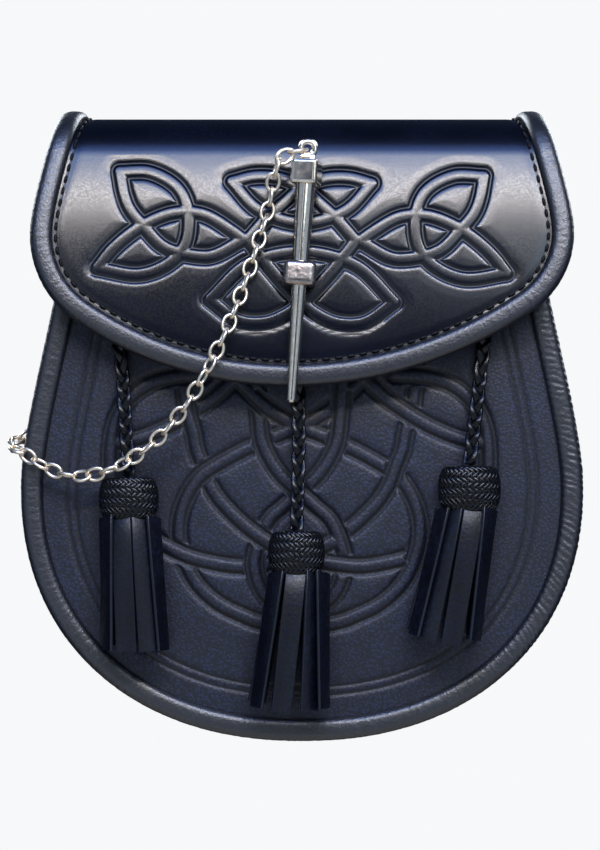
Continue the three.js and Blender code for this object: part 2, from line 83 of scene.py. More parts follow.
def spline(points, step):
    """Even points along a smooth line through the given ones."""
    points = np.array(points, float)
    held = np.concatenate([[2 * points[0] - points[1]], points, [2 * points[-1] - points[-2]]])
    lengths = np.linalg.norm(np.diff(held, axis=0), axis=1)
    gaps = np.sqrt(lengths)[:, None]
    slopes = np.diff(held, axis=0) / gaps
    tangents = slopes[:-1] + slopes[1:] - (held[2:] - held[:-2]) / (gaps[:-1] + gaps[1:])
    t = np.linspace(0, 1, SPLINE_PARTS, endpoint=False)[:, None]
    made = [
        (2 * t**3 - 3 * t**2 + 1) * points[n]
        + (t**3 - 2 * t**2 + t) * gaps[n + 1] * tangents[n]
        + (3 * t**2 - 2 * t**3) * points[n + 1]
        + (t**3 - t**2) * gaps[n + 1] * tangents[n + 1]
        for n in range(len(points) - 1)
    ]
    return even(np.concatenate([*made, points[-1:]]), step)


def bezier(*held):
    """Points along the cubic curve of four held points."""
    a, b, c, d = np.array(held, float)
    t = np.linspace(0, 1, BEZIER_PARTS + 1)[:, None]
    return (1 - t) ** 3 * a + 3 * (1 - t) ** 2 * t * b + 3 * (1 - t) * t**2 * c + t**3 * d


def body_half():
    """The body's right side and base as (x, z), from the roll down to the lowest point."""
    side = bezier((WAIST_HALF, ROLL_Z), (82, -15), (BODY_HALF, -58), (BODY_HALF, WIDEST_Z))
    angle = np.linspace(0, math.pi / 2, BASE_POINTS)[1:]
    across = BODY_HALF * np.cos(angle).clip(0) ** (2 / BASE_POWER)
    down = BASE_DROP * np.sin(angle) ** (2 / BASE_POWER)
    return np.concatenate([side, np.stack([across, WIDEST_Z - down], 1)])


def sheet_half():
    """The flat sheet's right half as (across, along), from the flap's lower edge backwards."""
    angle = np.linspace(0, FLAP_CORNER_TURN, CORNER_POINTS)
    base = FLAP_BASE_R * np.stack([np.sin(angle), np.cos(angle)], 1) + (0, FLAP_END - FLAP_BASE_R)
    turn = np.array([math.sin(FLAP_CORNER_TURN), math.cos(FLAP_CORNER_TURN)])
    angle = np.linspace(FLAP_CORNER_TURN, math.pi / 2, CORNER_POINTS)[1:]
    corner = base[-1] + FLAP_CORNER_R * (np.stack([np.sin(angle), np.cos(angle)], 1) - turn)
    start = (FLAP_HALF, corner[-1][1])
    side = bezier(start, (FLAP_HALF, 35), (79, -2), (WAIST_HALF, ROLL_START))[1:]
    back = body_half()[1:] + (0, ROLL_START - ROLL_Z)
    return np.concatenate([base, corner, side, back])


def inset(points, distance, closed=False):
    """A line's points moved to its right-hand side, which is inward on these outlines."""
    if closed:
        along = np.roll(points, -1, 0) - np.roll(points, 1, 0)
    else:
        along = np.gradient(points, axis=0)
    along = along / np.linalg.norm(along, axis=1, keepdims=True)
    return points + distance * np.stack([along[:, 1], -along[:, 0]], 1)


def on_sheet(across, along, out=0.0):
    """Places on the rolled sheet, so far out from its mid-surface, and its outward directions."""
    reach = np.clip((along - FRONT_START) / (FLAP_END - FRONT_START), 0, 1)
    along = along - FLAP_SKEW * across * reach**2
    turn = np.clip((along - ROLL_START) / ROLL_R, 0, ROLL_TURN)
    front = np.maximum(along - FRONT_START, 0) / FRONT_R
    ny, nz = np.cos(turn + front), np.sin(turn + front)
    y = BACK_Y - ROLL_R + ROLL_R * np.cos(turn) + FRONT_R * (ny - np.cos(turn))
    z = ROLL_Z + ROLL_R * np.sin(turn) + FRONT_R * (nz - np.sin(turn))
    z = z + np.minimum(along - ROLL_START, 0)
    return np.stack([across, y + ny * out, z + nz * out], -1), np.stack([0 * ny, ny, nz], -1)


def nearest(points, line, lot=4096):
    """How far each point is from a line. The points are taken in lots, to spare memory."""
    steps = np.diff(line, axis=0)
    lengths = np.linalg.norm(steps, axis=1)
    far = np.full(len(points), np.inf)
    for first in range(0, len(points), lot):
        some, best = points[first : first + lot], far[first : first + lot]
        at = ((line**2).sum(1) - 2 * some @ line.T).argmin(1)
        for segment in (np.clip(at - 1, 0, len(steps) - 1), np.clip(at, 0, len(steps) - 1)):
            gap = some - line[segment]
            part = np.clip((gap * steps[segment]).sum(1) / lengths[segment] ** 2, 0, 1)
            away = np.linalg.norm(gap - part[:, None] * steps[segment], axis=1)
            best[:] = np.minimum(best, away)
    return far


def band_distance(places, strands, crossings=()):
    """The distance from each place to the middle of the band that lies on top there. A band
    ranks 1 where it crosses over, -1 where it crosses under, else 0, and -2 beside itself."""
    reach = PRESS_REACH
    depth, rank = np.full(len(places), reach), np.full(len(places), -9.0)
    for name, line in strands.items():
        low, high = line.min(0) - reach, line.max(0) + reach
        near = np.flatnonzero(((places > low) & (places < high)).all(1))
        if not len(near):
            continue
        far = nearest(places[near], line)
        near, far = near[far < reach], far[far < reach]
        level = np.where(far < BAND_REACH, 0.0, -2.0)
        for x, z, over, under in crossings:
            if name in (over, under):
                close = np.hypot(*(places[near] - (x, z)).T) < CROSSING_R
                level[close & (far < BAND_REACH)] = 1 if name == over else -1
        better = (level > rank[near]) | ((level == rank[near]) & (far < depth[near]))
        depth[near[better]], rank[near[better]] = far[better], level[better]
    return depth


def profile(distance, points):
    """A height for each distance, through the (distance, height) points with soft bends."""
    fine = np.arange(-1, 9, PROFILE_STEP)
    heights = np.interp(np.abs(fine), *np.array(points).T)
    soft = np.hanning(PROFILE_SOFT) / np.hanning(PROFILE_SOFT).sum()
    kept = fine[PROFILE_SOFT // 2 : -(PROFILE_SOFT // 2)]
    return np.interp(distance, kept, np.convolve(heights, soft, "valid"))


def both_hands(strands, centre, tilt=0.0):
    """Each strand given for the left side, and its mirror image, set about the knot's centre
    and leaned with it, because the pattern was pressed a little off square."""
    made = {}
    for name, points in strands.items():
        for hand, side in (("L", 1), ("R", -1)):
            line = spline(np.array(points, float) * (side, 1) + (centre, 0), STRAND_STEP)
            made[name + hand] = line - np.stack([0 * line[:, 0], tilt * line[:, 0]], 1)
    return made


def plate_rows(half_width, levels, columns):
    """For each level, the places across that lie inside the plate, with its two ends."""
    halves = [half_width(level) for level in levels]
    return [np.concatenate([[-h], columns[np.abs(columns) < h - END_CLEAR], [h]]) for h in halves]


def sew_rows(rows, first):
    """Quads and triangles between rows of places across that share their inner columns. Where
    one row is the wider by some columns, triangles fan out from the narrow row's ends."""
    quads, triangles, start = [], [], first
    for upper, lower in zip(rows, rows[1:]):
        below = start + len(upper)
        wide, narrow = (start, below) if len(upper) >= len(lower) else (below, start)
        count, more = min(len(upper), len(lower)), abs(len(upper) - len(lower)) // 2
        inner = np.arange(1, count - 2)
        a, b = narrow + inner, wide + inner + more
        quads.append(np.stack([a, a + 1, b + 1, b], 1))
        last, wide_last = narrow + count - 1, wide + count - 1 + 2 * more
        for n in range(more + 1):
            triangles.append((narrow, wide + n, wide + n + 1))
            triangles.append((last, wide_last - n, wide_last - n - 1))
        triangles.append((narrow, wide + more + 1, narrow + 1))
        triangles.append((last, wide_last - more - 1, last - 1))
        start = below
    return np.concatenate(quads), np.array(triangles)


def sew_runs(first, second):
    """Triangles between two runs of corners, each given as (rising places, corner numbers)."""
    (near, a), (far, b) = first, second
    made, i, j = [], 0, 0
    while i < len(a) - 1 or j < len(b) - 1:
        if j == len(b) - 1 or (i < len(a) - 1 and near[i + 1] <= far[j + 1]):
            made.append((a[i], a[i + 1], b[j]))
            i += 1
        else:
            made.append((a[i], b[j + 1], b[j]))
            j += 1
    return made


def new_piece(name, points, *faces):
    """A smooth object with its place in its mesh, from points in millimetres."""
    mesh = bpy.data.meshes.new(name)
    mesh.vertices.add(len(points))
    mesh.vertices.foreach_set("co", (np.asarray(points) * MM).astype(np.float32).ravel())
    corners = np.concatenate([part.ravel() for part in faces]).astype(np.int32)
    sizes = np.concatenate([np.full(len(part), part.shape[1]) for part in faces])
    mesh.loops.add(len(corners))
    mesh.loops.foreach_set("vertex_index", corners)
    mesh.polygons.add(len(sizes))
    mesh.polygons.foreach_set("loop_start", (np.cumsum(sizes) - sizes).astype(np.int32))
    mesh.update(calc_edges=True)
    shape = bmesh.new()
    shape.from_mesh(mesh)
    bmesh.ops.recalc_face_normals(shape, faces=shape.faces)
    shape.to_mesh(mesh)
    shape.free()
    mesh.shade_smooth()
    piece = bpy.data.objects.new(name, mesh)
    bpy.context.collection.objects.link(piece)
    return piece


def mark(piece, name, values):
    """Keeps one number for each point of the mesh, which the materials read."""
    kept = piece.data.attributes.new(name, "FLOAT", "POINT")
    kept.data.foreach_set("value", np.asarray(values, np.float32))


def shell(name, half_width, fine, plain):
    """A closed sheet: a fine face, a plainer one behind it, and the edge that joins them.
    Each face is (levels, columns, face), and face gives the points at (across, level)."""
    points, faces, edges, flat, start = [], [], [], [], 0
    for levels, columns, face in (fine, plain):
        rows = plate_rows(half_width, levels, columns)
        across = np.concatenate(rows)
        along = np.repeat(levels, [len(row) for row in rows])
        faces.extend(sew_rows(rows, start))
        starts = start + np.concatenate([[0], np.cumsum([len(row) for row in rows])])
        top, bottom = np.arange(starts[0], starts[1]), np.arange(starts[-2], starts[-1])
        sides = [(levels, starts[:-1]), (levels, starts[1:] - 1)]
        edges.append([(rows[0], top), (rows[-1], bottom), *sides])
        points.append(face(across, along))
        flat.append(np.stack([across, along], 1))
        start = starts[-1]
    seams = [sew_runs(a, b) for a, b in zip(*edges)]
    piece = new_piece(name, np.concatenate(points), *faces, np.array(sum(seams, [])))
    return piece, np.concatenate(flat)


# How far the press of a band reaches, the band's own half width, and the reach of a crossing
PRESS_REACH, BAND_REACH, CROSSING_R = 7.0, 4.0, 5.6
# A press profile's steps and how many of them soften its bends, and a strand's steps
PROFILE_STEP, PROFILE_SOFT, STRAND_STEP = 0.05, 13, 0.8
# How near a row's end a column may come, and the distance kept where there is no line
END_CLEAR, FAR_AWAY = 0.2, 9.0
FLAP_KNOT = {
    "leaf top": [(-62.5, 25.5), (-52, 25.5), (-42.5, 20), (-39, 11.5), (-40, 0.5),
                 (-45.5, -6), (-55.5, -10), (-70, -8)],
    "leaf base": [(-70, -8), (-64.5, -1), (-54.5, 7), (-43.5, 11.5), (-33.5, 11),
                  (-24, 5.5), (-20, 2.5)],
    "leaf loop": [(-20, 2.5), (-30, -3), (-35, -3.5), (-47, -0.5), (-54.5, 7),
                  (-59, 12.5), (-61, 17.5), (-62.5, 25.5)],
    "bow": [(-24, 22.5), (-15, 13), (0, 8.5), (15, 13), (24, 22.5)],
    "sill": [(-31.5, -18.5), (-18.5, -6), (0, -1.5), (18.5, -6), (31.5, -18.5)],
    "upper arc": [(-24, 22.5), (-16, 24.5), (-7.5, 24), (-0.5, 21), (5.5, 16),
                  (12, 10), (18.5, 2.5)],
    "lower arc": [(-31.5, -18.5), (-21.5, -25.5), (-12.5, -26), (-6, -23.5), (-0.5, -19.5),
                  (9.5, -9), (18.5, 2.5)],
}
# Height against the distance from a band's middle: its rounded top, then the groove beside it
FLAP_PRESS = [(0, 0), (1.0, -0.04), (1.75, -0.14), (2.3, -0.58), (2.85, -0.6), (3.35, -0.22),
              (4.4, -0.07), (6.8, 0)]
FLAP_KNOT_X, FLAP_KNOT_TILT = -0.07, 0.013
# The seam lies so far inside the outer edge, in a soft hollow that comes in over the roll
STITCH_INSET, STITCH_DIP, DIP_HALF, DIP_FADE = 8.8, 0.28, 1.4, 20
flap_strands = both_hands(FLAP_KNOT, FLAP_KNOT_X, FLAP_KNOT_TILT)
outline = inset(sheet_half(), EDGE_INSET)
outline_levels, outline_halves = outline[::-1, 1], outline[::-1, 0]
sheet_loop = np.concatenate([sheet_half(), (sheet_half() * (-1, 1))[::-1]])
edge_path = even(sheet_loop, 1.0)


def sheet_width(level):
    """Half the sheet's width at a place along it."""
    return float(np.interp(level, outline_levels, outline_halves))


def graded(*stretches):
    """Places from the first value on, as (up to, about this step) stretches."""
    made = [np.array([stretches[0]])]
    for end, step in stretches[1:]:
        start = made[-1][-1]
        made.append(np.linspace(start, end, max(1, round(abs(end - start) / step)) + 1)[1:])
    return np.concatenate(made)


def mirrored_columns(*stretches):
    """Places across from side to side, the same on both hands."""
    right = graded(0.0, *stretches)
    return np.concatenate([-right[:0:-1], right])


def outer_face(across, along):
    """The sheet's outer face, pressed with the knot and the seam's hollow."""
    places, _ = on_sheet(across, along, SHEET / 2)
    height = np.zeros(len(across))
    front = along > FRONT_START
    height[front] = profile(band_distance(places[front][:, [0, 2]], flap_strands), FLAP_PRESS)
    far = nearest(np.stack([across, along], 1), edge_path)
    dip = STITCH_DIP * np.exp(-((np.abs(far - STITCH_INSET) / DIP_HALF) ** 2))
    height -= dip * np.clip((along - ROLL_START) / DIP_FADE, 0, 1)
    return on_sheet(across, along, SHEET / 2 + height)[0]


def inner_face(across, along):
    """The sheet's plain inner face."""
    return on_sheet(across, along, -SHEET / 2)[0]


# The mesh is fine where the knot is pressed: to so far along, and so far to either side. Its
# columns go on to the widest place, and its rows stop a little short of the ends.
KNOT_END, KNOT_HALF, WIDEST, EDGE_TRIM = 82, 72, 95, 0.15
lowest, highest = outline[:, 1].max() - EDGE_TRIM, outline[:, 1].min() + EDGE_TRIM
knot_start = FRONT_START - 2
fine_levels = graded(highest, (ROLL_START, 4.5), (knot_start, 1.6), (KNOT_END, 0.38), (lowest, 1.0))
fine_columns = mirrored_columns((KNOT_HALF, 0.39), (WIDEST, 1.0))
plain_levels = graded(highest, (ROLL_START, 9), (lowest, 3))
plain_columns = mirrored_columns((WIDEST, 5))
sheet, sheet_flat = shell(
    "back_roll_and_flap", sheet_width,
    (fine_levels, fine_columns, outer_face), (plain_levels, plain_columns, inner_face),
)


def add(tree, kind, sockets=(), **settings):
    """A new node with its settings, and its sockets set to values or joined to other sockets."""
    made = tree.nodes.new(kind)
    for name, value in settings.items():
        setattr(made, name, value)
    for name, value in dict(sockets).items():
        if isinstance(value, bpy.types.NodeSocket):
            tree.links.new(value, made.inputs[name])
        else:
            made.inputs[name].default_value = value
    return made


def maths(tree, operation, *values):
    """The result of one operation on numbers or sockets."""
    return add(tree, "ShaderNodeMath", dict(enumerate(values)), operation=operation).outputs[0]


def mix(tree, part, first, second, **settings):
    """Two colours mixed, with so much of the second."""
    return add(tree, "ShaderNodeMixRGB", {0: part, 1: first, 2: second}, **settings).outputs[0]


def between(tree, value, low, high, at_low, at_high, **settings):
    """A number that goes from one value to another as the given one goes from low to high."""
    sockets = {"Value": value, 1: low, 2: high, 3: at_low, 4: at_high}
    return add(tree, "ShaderNodeMapRange", sockets, **settings).outputs[0]


def noise_at(tree, place, scale, detail):
    """Cloudy noise, with so many clouds to a metre."""
    return add(tree, "ShaderNodeTexNoise", {"Vector": place, "Scale": scale, "Detail": detail})


def marked(tree, name):
    """The number that mark() kept under a name."""
    return add(tree, "ShaderNodeAttribute", attribute_name=name).outputs["Fac"]


def ramp(tree, value, *stops):
    """A value turned into another, or into a colour, between stops of (place, shade)."""
    made = add(tree, "ShaderNodeValToRGB", {"Fac": value})
    while len(made.color_ramp.elements) < len(stops):
        made.color_ramp.elements.new(0.5)
    for element, (place, shade) in zip(made.color_ramp.elements, stops):
        element.position = place
        element.color = (*shade, 1) if isinstance(shade, tuple) else (shade, shade, shade, 1)
    return made.outputs["Color"]


def grain_group():
    """Leather's grain: small pebbles with fine pores in them, and slow changes of tone."""
    group = bpy.data.node_groups.new("leather_grain", "ShaderNodeTree")
    for name, value in (("Pebbles per metre", 1100.0), ("Pores", 0.4)):
        socket = group.interface.new_socket(name, in_out="INPUT", socket_type="NodeSocketFloat")
        socket.default_value = value
    for name in ("Height", "Tone"):
        group.interface.new_socket(name, in_out="OUTPUT", socket_type="NodeSocketFloat")
    given, result = group.nodes.new("NodeGroupInput"), group.nodes.new("NodeGroupOutput")
    place = add(group, "ShaderNodeTexCoord").outputs["Object"]
    bend = noise_at(group, place, 260.0, 2.0)
    bent = mix(group, 0.0012, place, bend.outputs["Color"])
    pebbles = add(group, "ShaderNodeTexVoronoi",
                  {"Vector": bent, "Scale": given.outputs[0], "Smoothness": 0.6},
                  feature="SMOOTH_F1")
    dome = ramp(group, pebbles.outputs["Distance"], (0.05, 1.0), (0.62, 0.0))
    pores = noise_at(group, place, 3800.0, 3.0)
    height = mix(group, given.outputs[1], dome, pores.outputs["Fac"])
    slow = noise_at(group, place, 42.0, 4.0)
    group.links.new(height, result.inputs["Height"])
    group.links.new(slow.outputs["Fac"], result.inputs["Tone"])
    return group


leather_grain = grain_group()


def groove(tree, distance, middle, half):
    """One where a kept distance is the middle one, falling smoothly to nothing at its sides."""
    away = maths(tree, "ABSOLUTE", maths(tree, "SUBTRACT", distance, middle))
    return between(tree, away, 0.0, half, 1.0, 0.0, interpolation_type="SMOOTHERSTEP")


def new_material(name):
    """A material with its tree and its shader."""
    material = bpy.data.materials.new(name)
    material.use_nodes = True
    return material, material.node_tree, material.node_tree.nodes["Principled BSDF"]


# The painted shade in a groove: its colour and how much of it shows; how much rougher a groove is,
# and the depths in metres
GROOVE_SHADE_COLOUR, GROOVE_SHADE, GROOVE_DULL = (0.0008, 0.001, 0.002, 1), 0.92, 0.18
GRAIN_DEEP, GROOVE_DEEP = 0.00012, 0.00005


def leather(name, dark, light, roughness, bump, pebbles, shine=0.5, grooves=None):
    """Dyed leather: pebbled grain with painted shade in its creases, a slow change of tone, and
    where it is pressed, duller grooves with painted shade in them, given as ((distance, half
    width) by the bands, half of the line)."""
    material, tree, shader = new_material(name)
    grain = add(tree, "ShaderNodeGroup", {"Pebbles per metre": pebbles}, node_tree=leather_grain)
    height = grain.outputs["Height"]
    tone = ramp(tree, grain.outputs["Tone"], (0.32, dark), (0.7, light))
    # Painted shade: the base colour is darkened in the grain's creases.
    crease_shade = ramp(tree, height, (0.25, 0.2), (0.7, 1.0))
    tone = mix(tree, 1.0, tone, crease_shade, blend_type="MULTIPLY")
    rough = between(tree, height, 0.2, 0.8, roughness + 0.07, roughness - 0.03)
    raised = add(tree, "ShaderNodeBump",
                 {"Strength": bump, "Distance": GRAIN_DEEP, "Height": height})
    if grooves:
        (middle, half), line_half = grooves
        sunk = maths(tree, "MAXIMUM", groove(tree, marked(tree, "band"), middle, half),
                     groove(tree, marked(tree, "line"), 0.0, line_half))
        # Painted shade: where the bands' grooves and the marked line lie, the colour goes toward
        # near black.
        tone = mix(tree, maths(tree, "MULTIPLY", sunk, GROOVE_SHADE), tone, GROOVE_SHADE_COLOUR)
        dull = maths(tree, "MULTIPLY", maths(tree, "POWER", sunk, 2.0), GROOVE_DULL)
        rough = maths(tree, "ADD", rough, dull)
        cut = add(tree, "ShaderNodeBump",
                  {"Strength": 1.0, "Distance": GROOVE_DEEP, "Height": sunk}, invert=True)
        tree.links.new(cut.outputs[0], raised.inputs["Normal"])
    tree.links.new(tone, shader.inputs["Base Color"])
    tree.links.new(rough, shader.inputs["Roughness"])
    tree.links.new(raised.outputs[0], shader.inputs["Normal"])
    shader.inputs["Specular IOR Level"].default_value = shine
    return material


band = np.full(len(sheet_flat), PRESS_REACH)
front = np.flatnonzero(sheet_flat[:, 1] > FRONT_START)
face_places, _ = on_sheet(*sheet_flat[front].T, SHEET / 2)
band[front] = band_distance(face_places[:, [0, 2]], flap_strands)
mark(sheet, "band", band)
seam = nearest(sheet_flat, edge_path) - STITCH_INSET
mark(sheet, "line", np.where(sheet_flat[:, 1] > 0, seam, FAR_AWAY))


def tint(material, attribute, start, end, most, colour):
    """Turns a leather toward a colour, by at most so much, as a kept number goes up."""
    tree = material.node_tree
    base = tree.nodes["Principled BSDF"].inputs["Base Color"]
    part = between(tree, marked(tree, attribute), start, end, 0.0, most)
    tree.links.new(mix(tree, part, base.links[0].from_socket, (*colour, 1)), base)


# This leather is darker than the front's navy, as painted shade on the flap; from the roll
# backwards, over so many millimetres, it is turned lighter
SHADE_FADES_FROM, SHADE_FADES_OVER = ROLL_START + 25, 45
polished_shaded_leather = leather("navy leather, glossy, with painted shade", (0.0013, 0.0024, 0.0085), (0.004, 0.0064, 0.018),
                   roughness=0.2, bump=0.05, pebbles=1500.0, grooves=((2.6, 0.7), 0.8))
mark(sheet, "behind", np.clip((SHADE_FADES_FROM - sheet_flat[:, 1]) / SHADE_FADES_OVER, 0, 1))
tint(polished_shaded_leather, "behind", 0, 1, 0.8, (0.0055, 0.0072, 0.0135))


def fit(piece, material, slot, *nodes):
    """The piece gets its material, rides on the body and stands for CAD nodes; slot is not used."""
    piece.data.materials.clear()
    piece.data.materials.append(material)
    if nodes:
        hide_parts(*nodes)
    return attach(piece, "root")


fit(sheet, polished_shaded_leather, "leather", "back_and_flap")

# ---------------------------------------------------------------- the binding round the sheet
# A strip of thin black leather, wrapped as piping round the whole edge of the sheet. The strip
# is gathered round the curves, so that fine wrinkles run across it.

PIPE_R, PIPE_FOOT, PIPE_POINTS, PIPE_SQUARE, GAP = 3.9, -0.6, 26, 3, 0.3
# Unevenness: how much, over how many millimetres, and where in the noise it is read
UNEVEN_PITCH, UNEVEN_RIDGE, UNEVEN_DEPTH, CREASES = (
    (0.7, 7.0, 3), (0.25, 3.5, 5), (0.9, 5.0, 9), (0.10, 1.1, 11))


def loft(name, rings, closed=False):
    """A piece through rings of the same number of points, closed on itself or at its two ends."""
    count, size, _ = rings.shape
    number = np.arange(count * size).reshape(count, size)
    after = np.roll(number, -1, 0) if closed else number[1:]
    before = number if closed else number[:-1]
    quads = np.stack([before, np.roll(before, -1, 1), np.roll(after, -1, 1), after], 2)
    caps = [] if closed else [number[:1], number[-1:]]
    return new_piece(name, rings.reshape(-1, 3), quads.reshape(-1, 4), *caps)


def wander(values, much, size, seed):
    """A smooth random number up to so much, for each value or for each row of values."""
    values = np.atleast_2d(values.T).T / size
    padded = np.zeros((len(values), 3))
    padded[:, : values.shape[1]] = values
    place = Vector((seed, 7.3 * seed, 1.7))
    return much * np.array([noise.noise(Vector(row) + place) for row in padded])


def pipe_rings(centres, inward, out, thickness, gathers):
    """Rings of piping with a slot for the leather's edge. gathers are (depth, pitch, lean) of
    the wrinkles for each ring. They are sharp valleys between round ridges, fade at the slot's
    lips, and have small creases across them. The piping is a little square in section."""
    lip = math.asin((thickness / 2 + GAP) / PIPE_R)
    angle = np.linspace(lip, 2 * math.pi - lip, PIPE_POINTS)
    run = run_along(centres)
    depth, pitch, lean = gathers.T
    turns = np.concatenate([[0], np.cumsum(np.diff(run) / pitch[1:])])
    turns = turns + wander(run, *UNEVEN_PITCH)
    phase = turns[:, None] - (lean / pitch)[:, None] * (angle - math.pi / 2)
    grid = np.stack(np.meshgrid(run, angle * PIPE_R, indexing="ij"), -1).reshape(-1, 2)
    phase = phase + wander(grid, *UNEVEN_RIDGE).reshape(phase.shape)
    fold = np.abs(np.sin(math.pi * phase)) ** 0.7 - 0.75
    vary = 0.75 + wander(grid, *UNEVEN_DEPTH).reshape(phase.shape)
    fine = wander(grid * (1.0, 0.35), *CREASES).reshape(phase.shape)
    fade = np.sin((angle - lip) / (2 * math.pi - 2 * lip) * math.pi) ** 0.35
    powers = np.abs(np.cos(angle)) ** PIPE_SQUARE + np.abs(np.sin(angle)) ** PIPE_SQUARE
    radius = PIPE_R * powers ** (-1 / PIPE_SQUARE)
    radius = radius + (depth[:, None] * fold * vary + fine) * fade
    half = thickness / 2 + GAP
    section = np.stack([radius * np.cos(angle), radius * np.sin(angle)], -1)
    feet = np.broadcast_to([[PIPE_FOOT, -half], [PIPE_FOOT, half]], (len(centres), 2, 2))
    section = np.concatenate([section, feet], 1)
    return (centres[:, None] + section[..., :1] * inward[:, None]
            + section[..., 1:] * out[:, None])


def unit(vectors):
    """The vectors brought to a length of one."""
    return vectors / np.linalg.norm(vectors, axis=-1, keepdims=True)


# Along the binding the gathers are deeper on the flap than on the back
FLAP_FOLDS_FROM, FLAP_FOLD, BACK_FOLD, GATHER_PITCH, EDGE_LEAN = 20, 0.12, 0.08, 2.4, 0.6
edge_line = even(sheet_loop[:-1], 0.8, closed=True)
edge_middle, edge_inner = inset(edge_line, PIPE_R, True), inset(edge_line, PIPE_R + 1, True)
edge_centres, edge_out = on_sheet(*edge_middle.T)
edge_inward = unit(on_sheet(*edge_inner.T)[0] - edge_centres)
edge_depth = np.where(edge_middle[:, 1] > FLAP_FOLDS_FROM, FLAP_FOLD, BACK_FOLD)
edge_gathers = np.stack([
    edge_depth, np.full(len(edge_line), GATHER_PITCH), np.full(len(edge_line), EDGE_LEAN)], 1)
edge_binding = loft("sheet_piping", pipe_rings(
    edge_centres, edge_inward, edge_out, SHEET, edge_gathers), closed=True)
piping = leather("black piping leather", (0.003, 0.0045, 0.011), (0.0085, 0.0115, 0.024),
                 roughness=0.37, bump=0.7, pebbles=1000.0, shine=1.0)
fit(edge_binding, piping, "binding", "edge_binding")

# ---------------------------------------------------------------- the stitching of the flap
# Waxed linen thread, sewn through the flap and its binding just inside the piping. The even
# stitches lie in the seam's hollow and sink a little into the leather.

STITCH_PITCH, STITCH_LONG, THREAD, STITCH_OUT, SEAM_START = 4.2, 3.0, 1.15, 0.35, -14


def evaluated(piece, name):
    """The piece's finished mesh as a new plain object; the piece itself is removed."""
    graph = bpy.context.evaluated_depsgraph_get()
    mesh = bpy.data.meshes.new_from_object(piece.evaluated_get(graph))
    mesh.name = name
    bpy.data.objects.remove(piece)
    made = bpy.data.objects.new(name, mesh)
    bpy.context.collection.objects.link(made)
    return made


def node_maker(name, **inputs):
    """A Geometry Nodes tree with a Geometry input and the named number or material inputs."""
    tree = bpy.data.node_groups.new(name, "GeometryNodeTree")
    tree.interface.new_socket("Geometry", in_out="INPUT", socket_type="NodeSocketGeometry")
    for label, value in inputs.items():
        kind = "NodeSocketMaterial" if value is None else "NodeSocketFloat"
        socket = tree.interface.new_socket(label, in_out="INPUT", socket_type=kind)
        if value is not None:
            socket.default_value = value
    tree.interface.new_socket("Geometry", in_out="OUTPUT", socket_type="NodeSocketGeometry")
    return tree, tree.nodes.new("NodeGroupInput"), tree.nodes.new("NodeGroupOutput")


def grow(points_mesh, tree, name, **values):
    """Runs a tree on a mesh with its inputs set, and returns the plain result."""
    seed = bpy.data.objects.new(name + "_seed", points_mesh)
    bpy.context.collection.objects.link(seed)
    modifier = seed.modifiers.new("grow", "NODES")
    modifier.node_group = tree
    sockets = {item.name: item.identifier for item in tree.interface.items_tree
               if item.in_out == "INPUT"}
    for label, value in values.items():
        modifier[sockets[label]] = value
    return evaluated(seed, name)


def keep_vectors(mesh, name, vectors):
    """Keeps one direction or turn for each point of a mesh."""
    kept = mesh.attributes.new(name, "FLOAT_VECTOR", "POINT")
    kept.data.foreach_set("vector", np.asarray(vectors, np.float32).ravel())


def named(tree, name, kind="FLOAT_VECTOR"):
    """What a mesh keeps for each point under a name."""
    return add(tree, "GeometryNodeInputNamedAttribute", {"Name": name}, data_type=kind).outputs[0]


def put_on_points(tree, given, shape, **sockets):
    """A shape on each point, smooth, and turned as the point says."""
    turning = add(tree, "FunctionNodeEulerToRotation", {"Euler": named(tree, "turn")})
    smooth = add(tree, "GeometryNodeSetShadeSmooth", {"Geometry": shape})
    sockets.update(Points=given.outputs["Geometry"], Instance=smooth.outputs[0],
                   Rotation=turning.outputs[0])
    return add(tree, "GeometryNodeInstanceOnPoints", sockets).outputs[0]


def end_tree(tree, given, result, made):
    """The tree's end: its pieces made real, with the material set."""
    real = add(tree, "GeometryNodeRealizeInstances", {"Geometry": made})
    done = add(tree, "GeometryNodeSetMaterial", {"Geometry": real.outputs[0],
                                                 "Material": given.outputs["Material"]})
    tree.links.new(done.outputs[0], result.inputs[0])
    return tree


def stitch_tree():
    """One stitch on each point: a bead of thread, pinched at its two ends."""
    tree, given, result = node_maker("stitching", Length=0.003, Thread=0.0008, Material=None)
    bead = add(tree, "GeometryNodeMeshUVSphere", {"Segments": 10, "Rings": 8, "Radius": 0.5})
    size = add(tree, "ShaderNodeCombineXYZ", {"X": given.outputs["Length"],
               "Y": given.outputs["Thread"], "Z": given.outputs["Thread"]})
    placed = put_on_points(tree, given, bead.outputs[0], Scale=size.outputs[0])
    return end_tree(tree, given, result, placed)


def turned_points(name, places, alongs, normals):
    """A mesh of points in millimetres, each with the turn whose X runs along and Z outward."""
    mesh = bpy.data.meshes.new(name)
    mesh.from_pydata((places * MM).tolist(), [], [])
    turns = []
    for along, normal in zip(alongs, normals):
        along, normal = Vector(along).normalized(), Vector(normal)
        normal = (normal - along * normal.dot(along)).normalized()
        turns.append(tuple(Matrix((along, normal.cross(along), normal)).transposed().to_euler()))
    keep_vectors(mesh, "turn", turns)
    return mesh


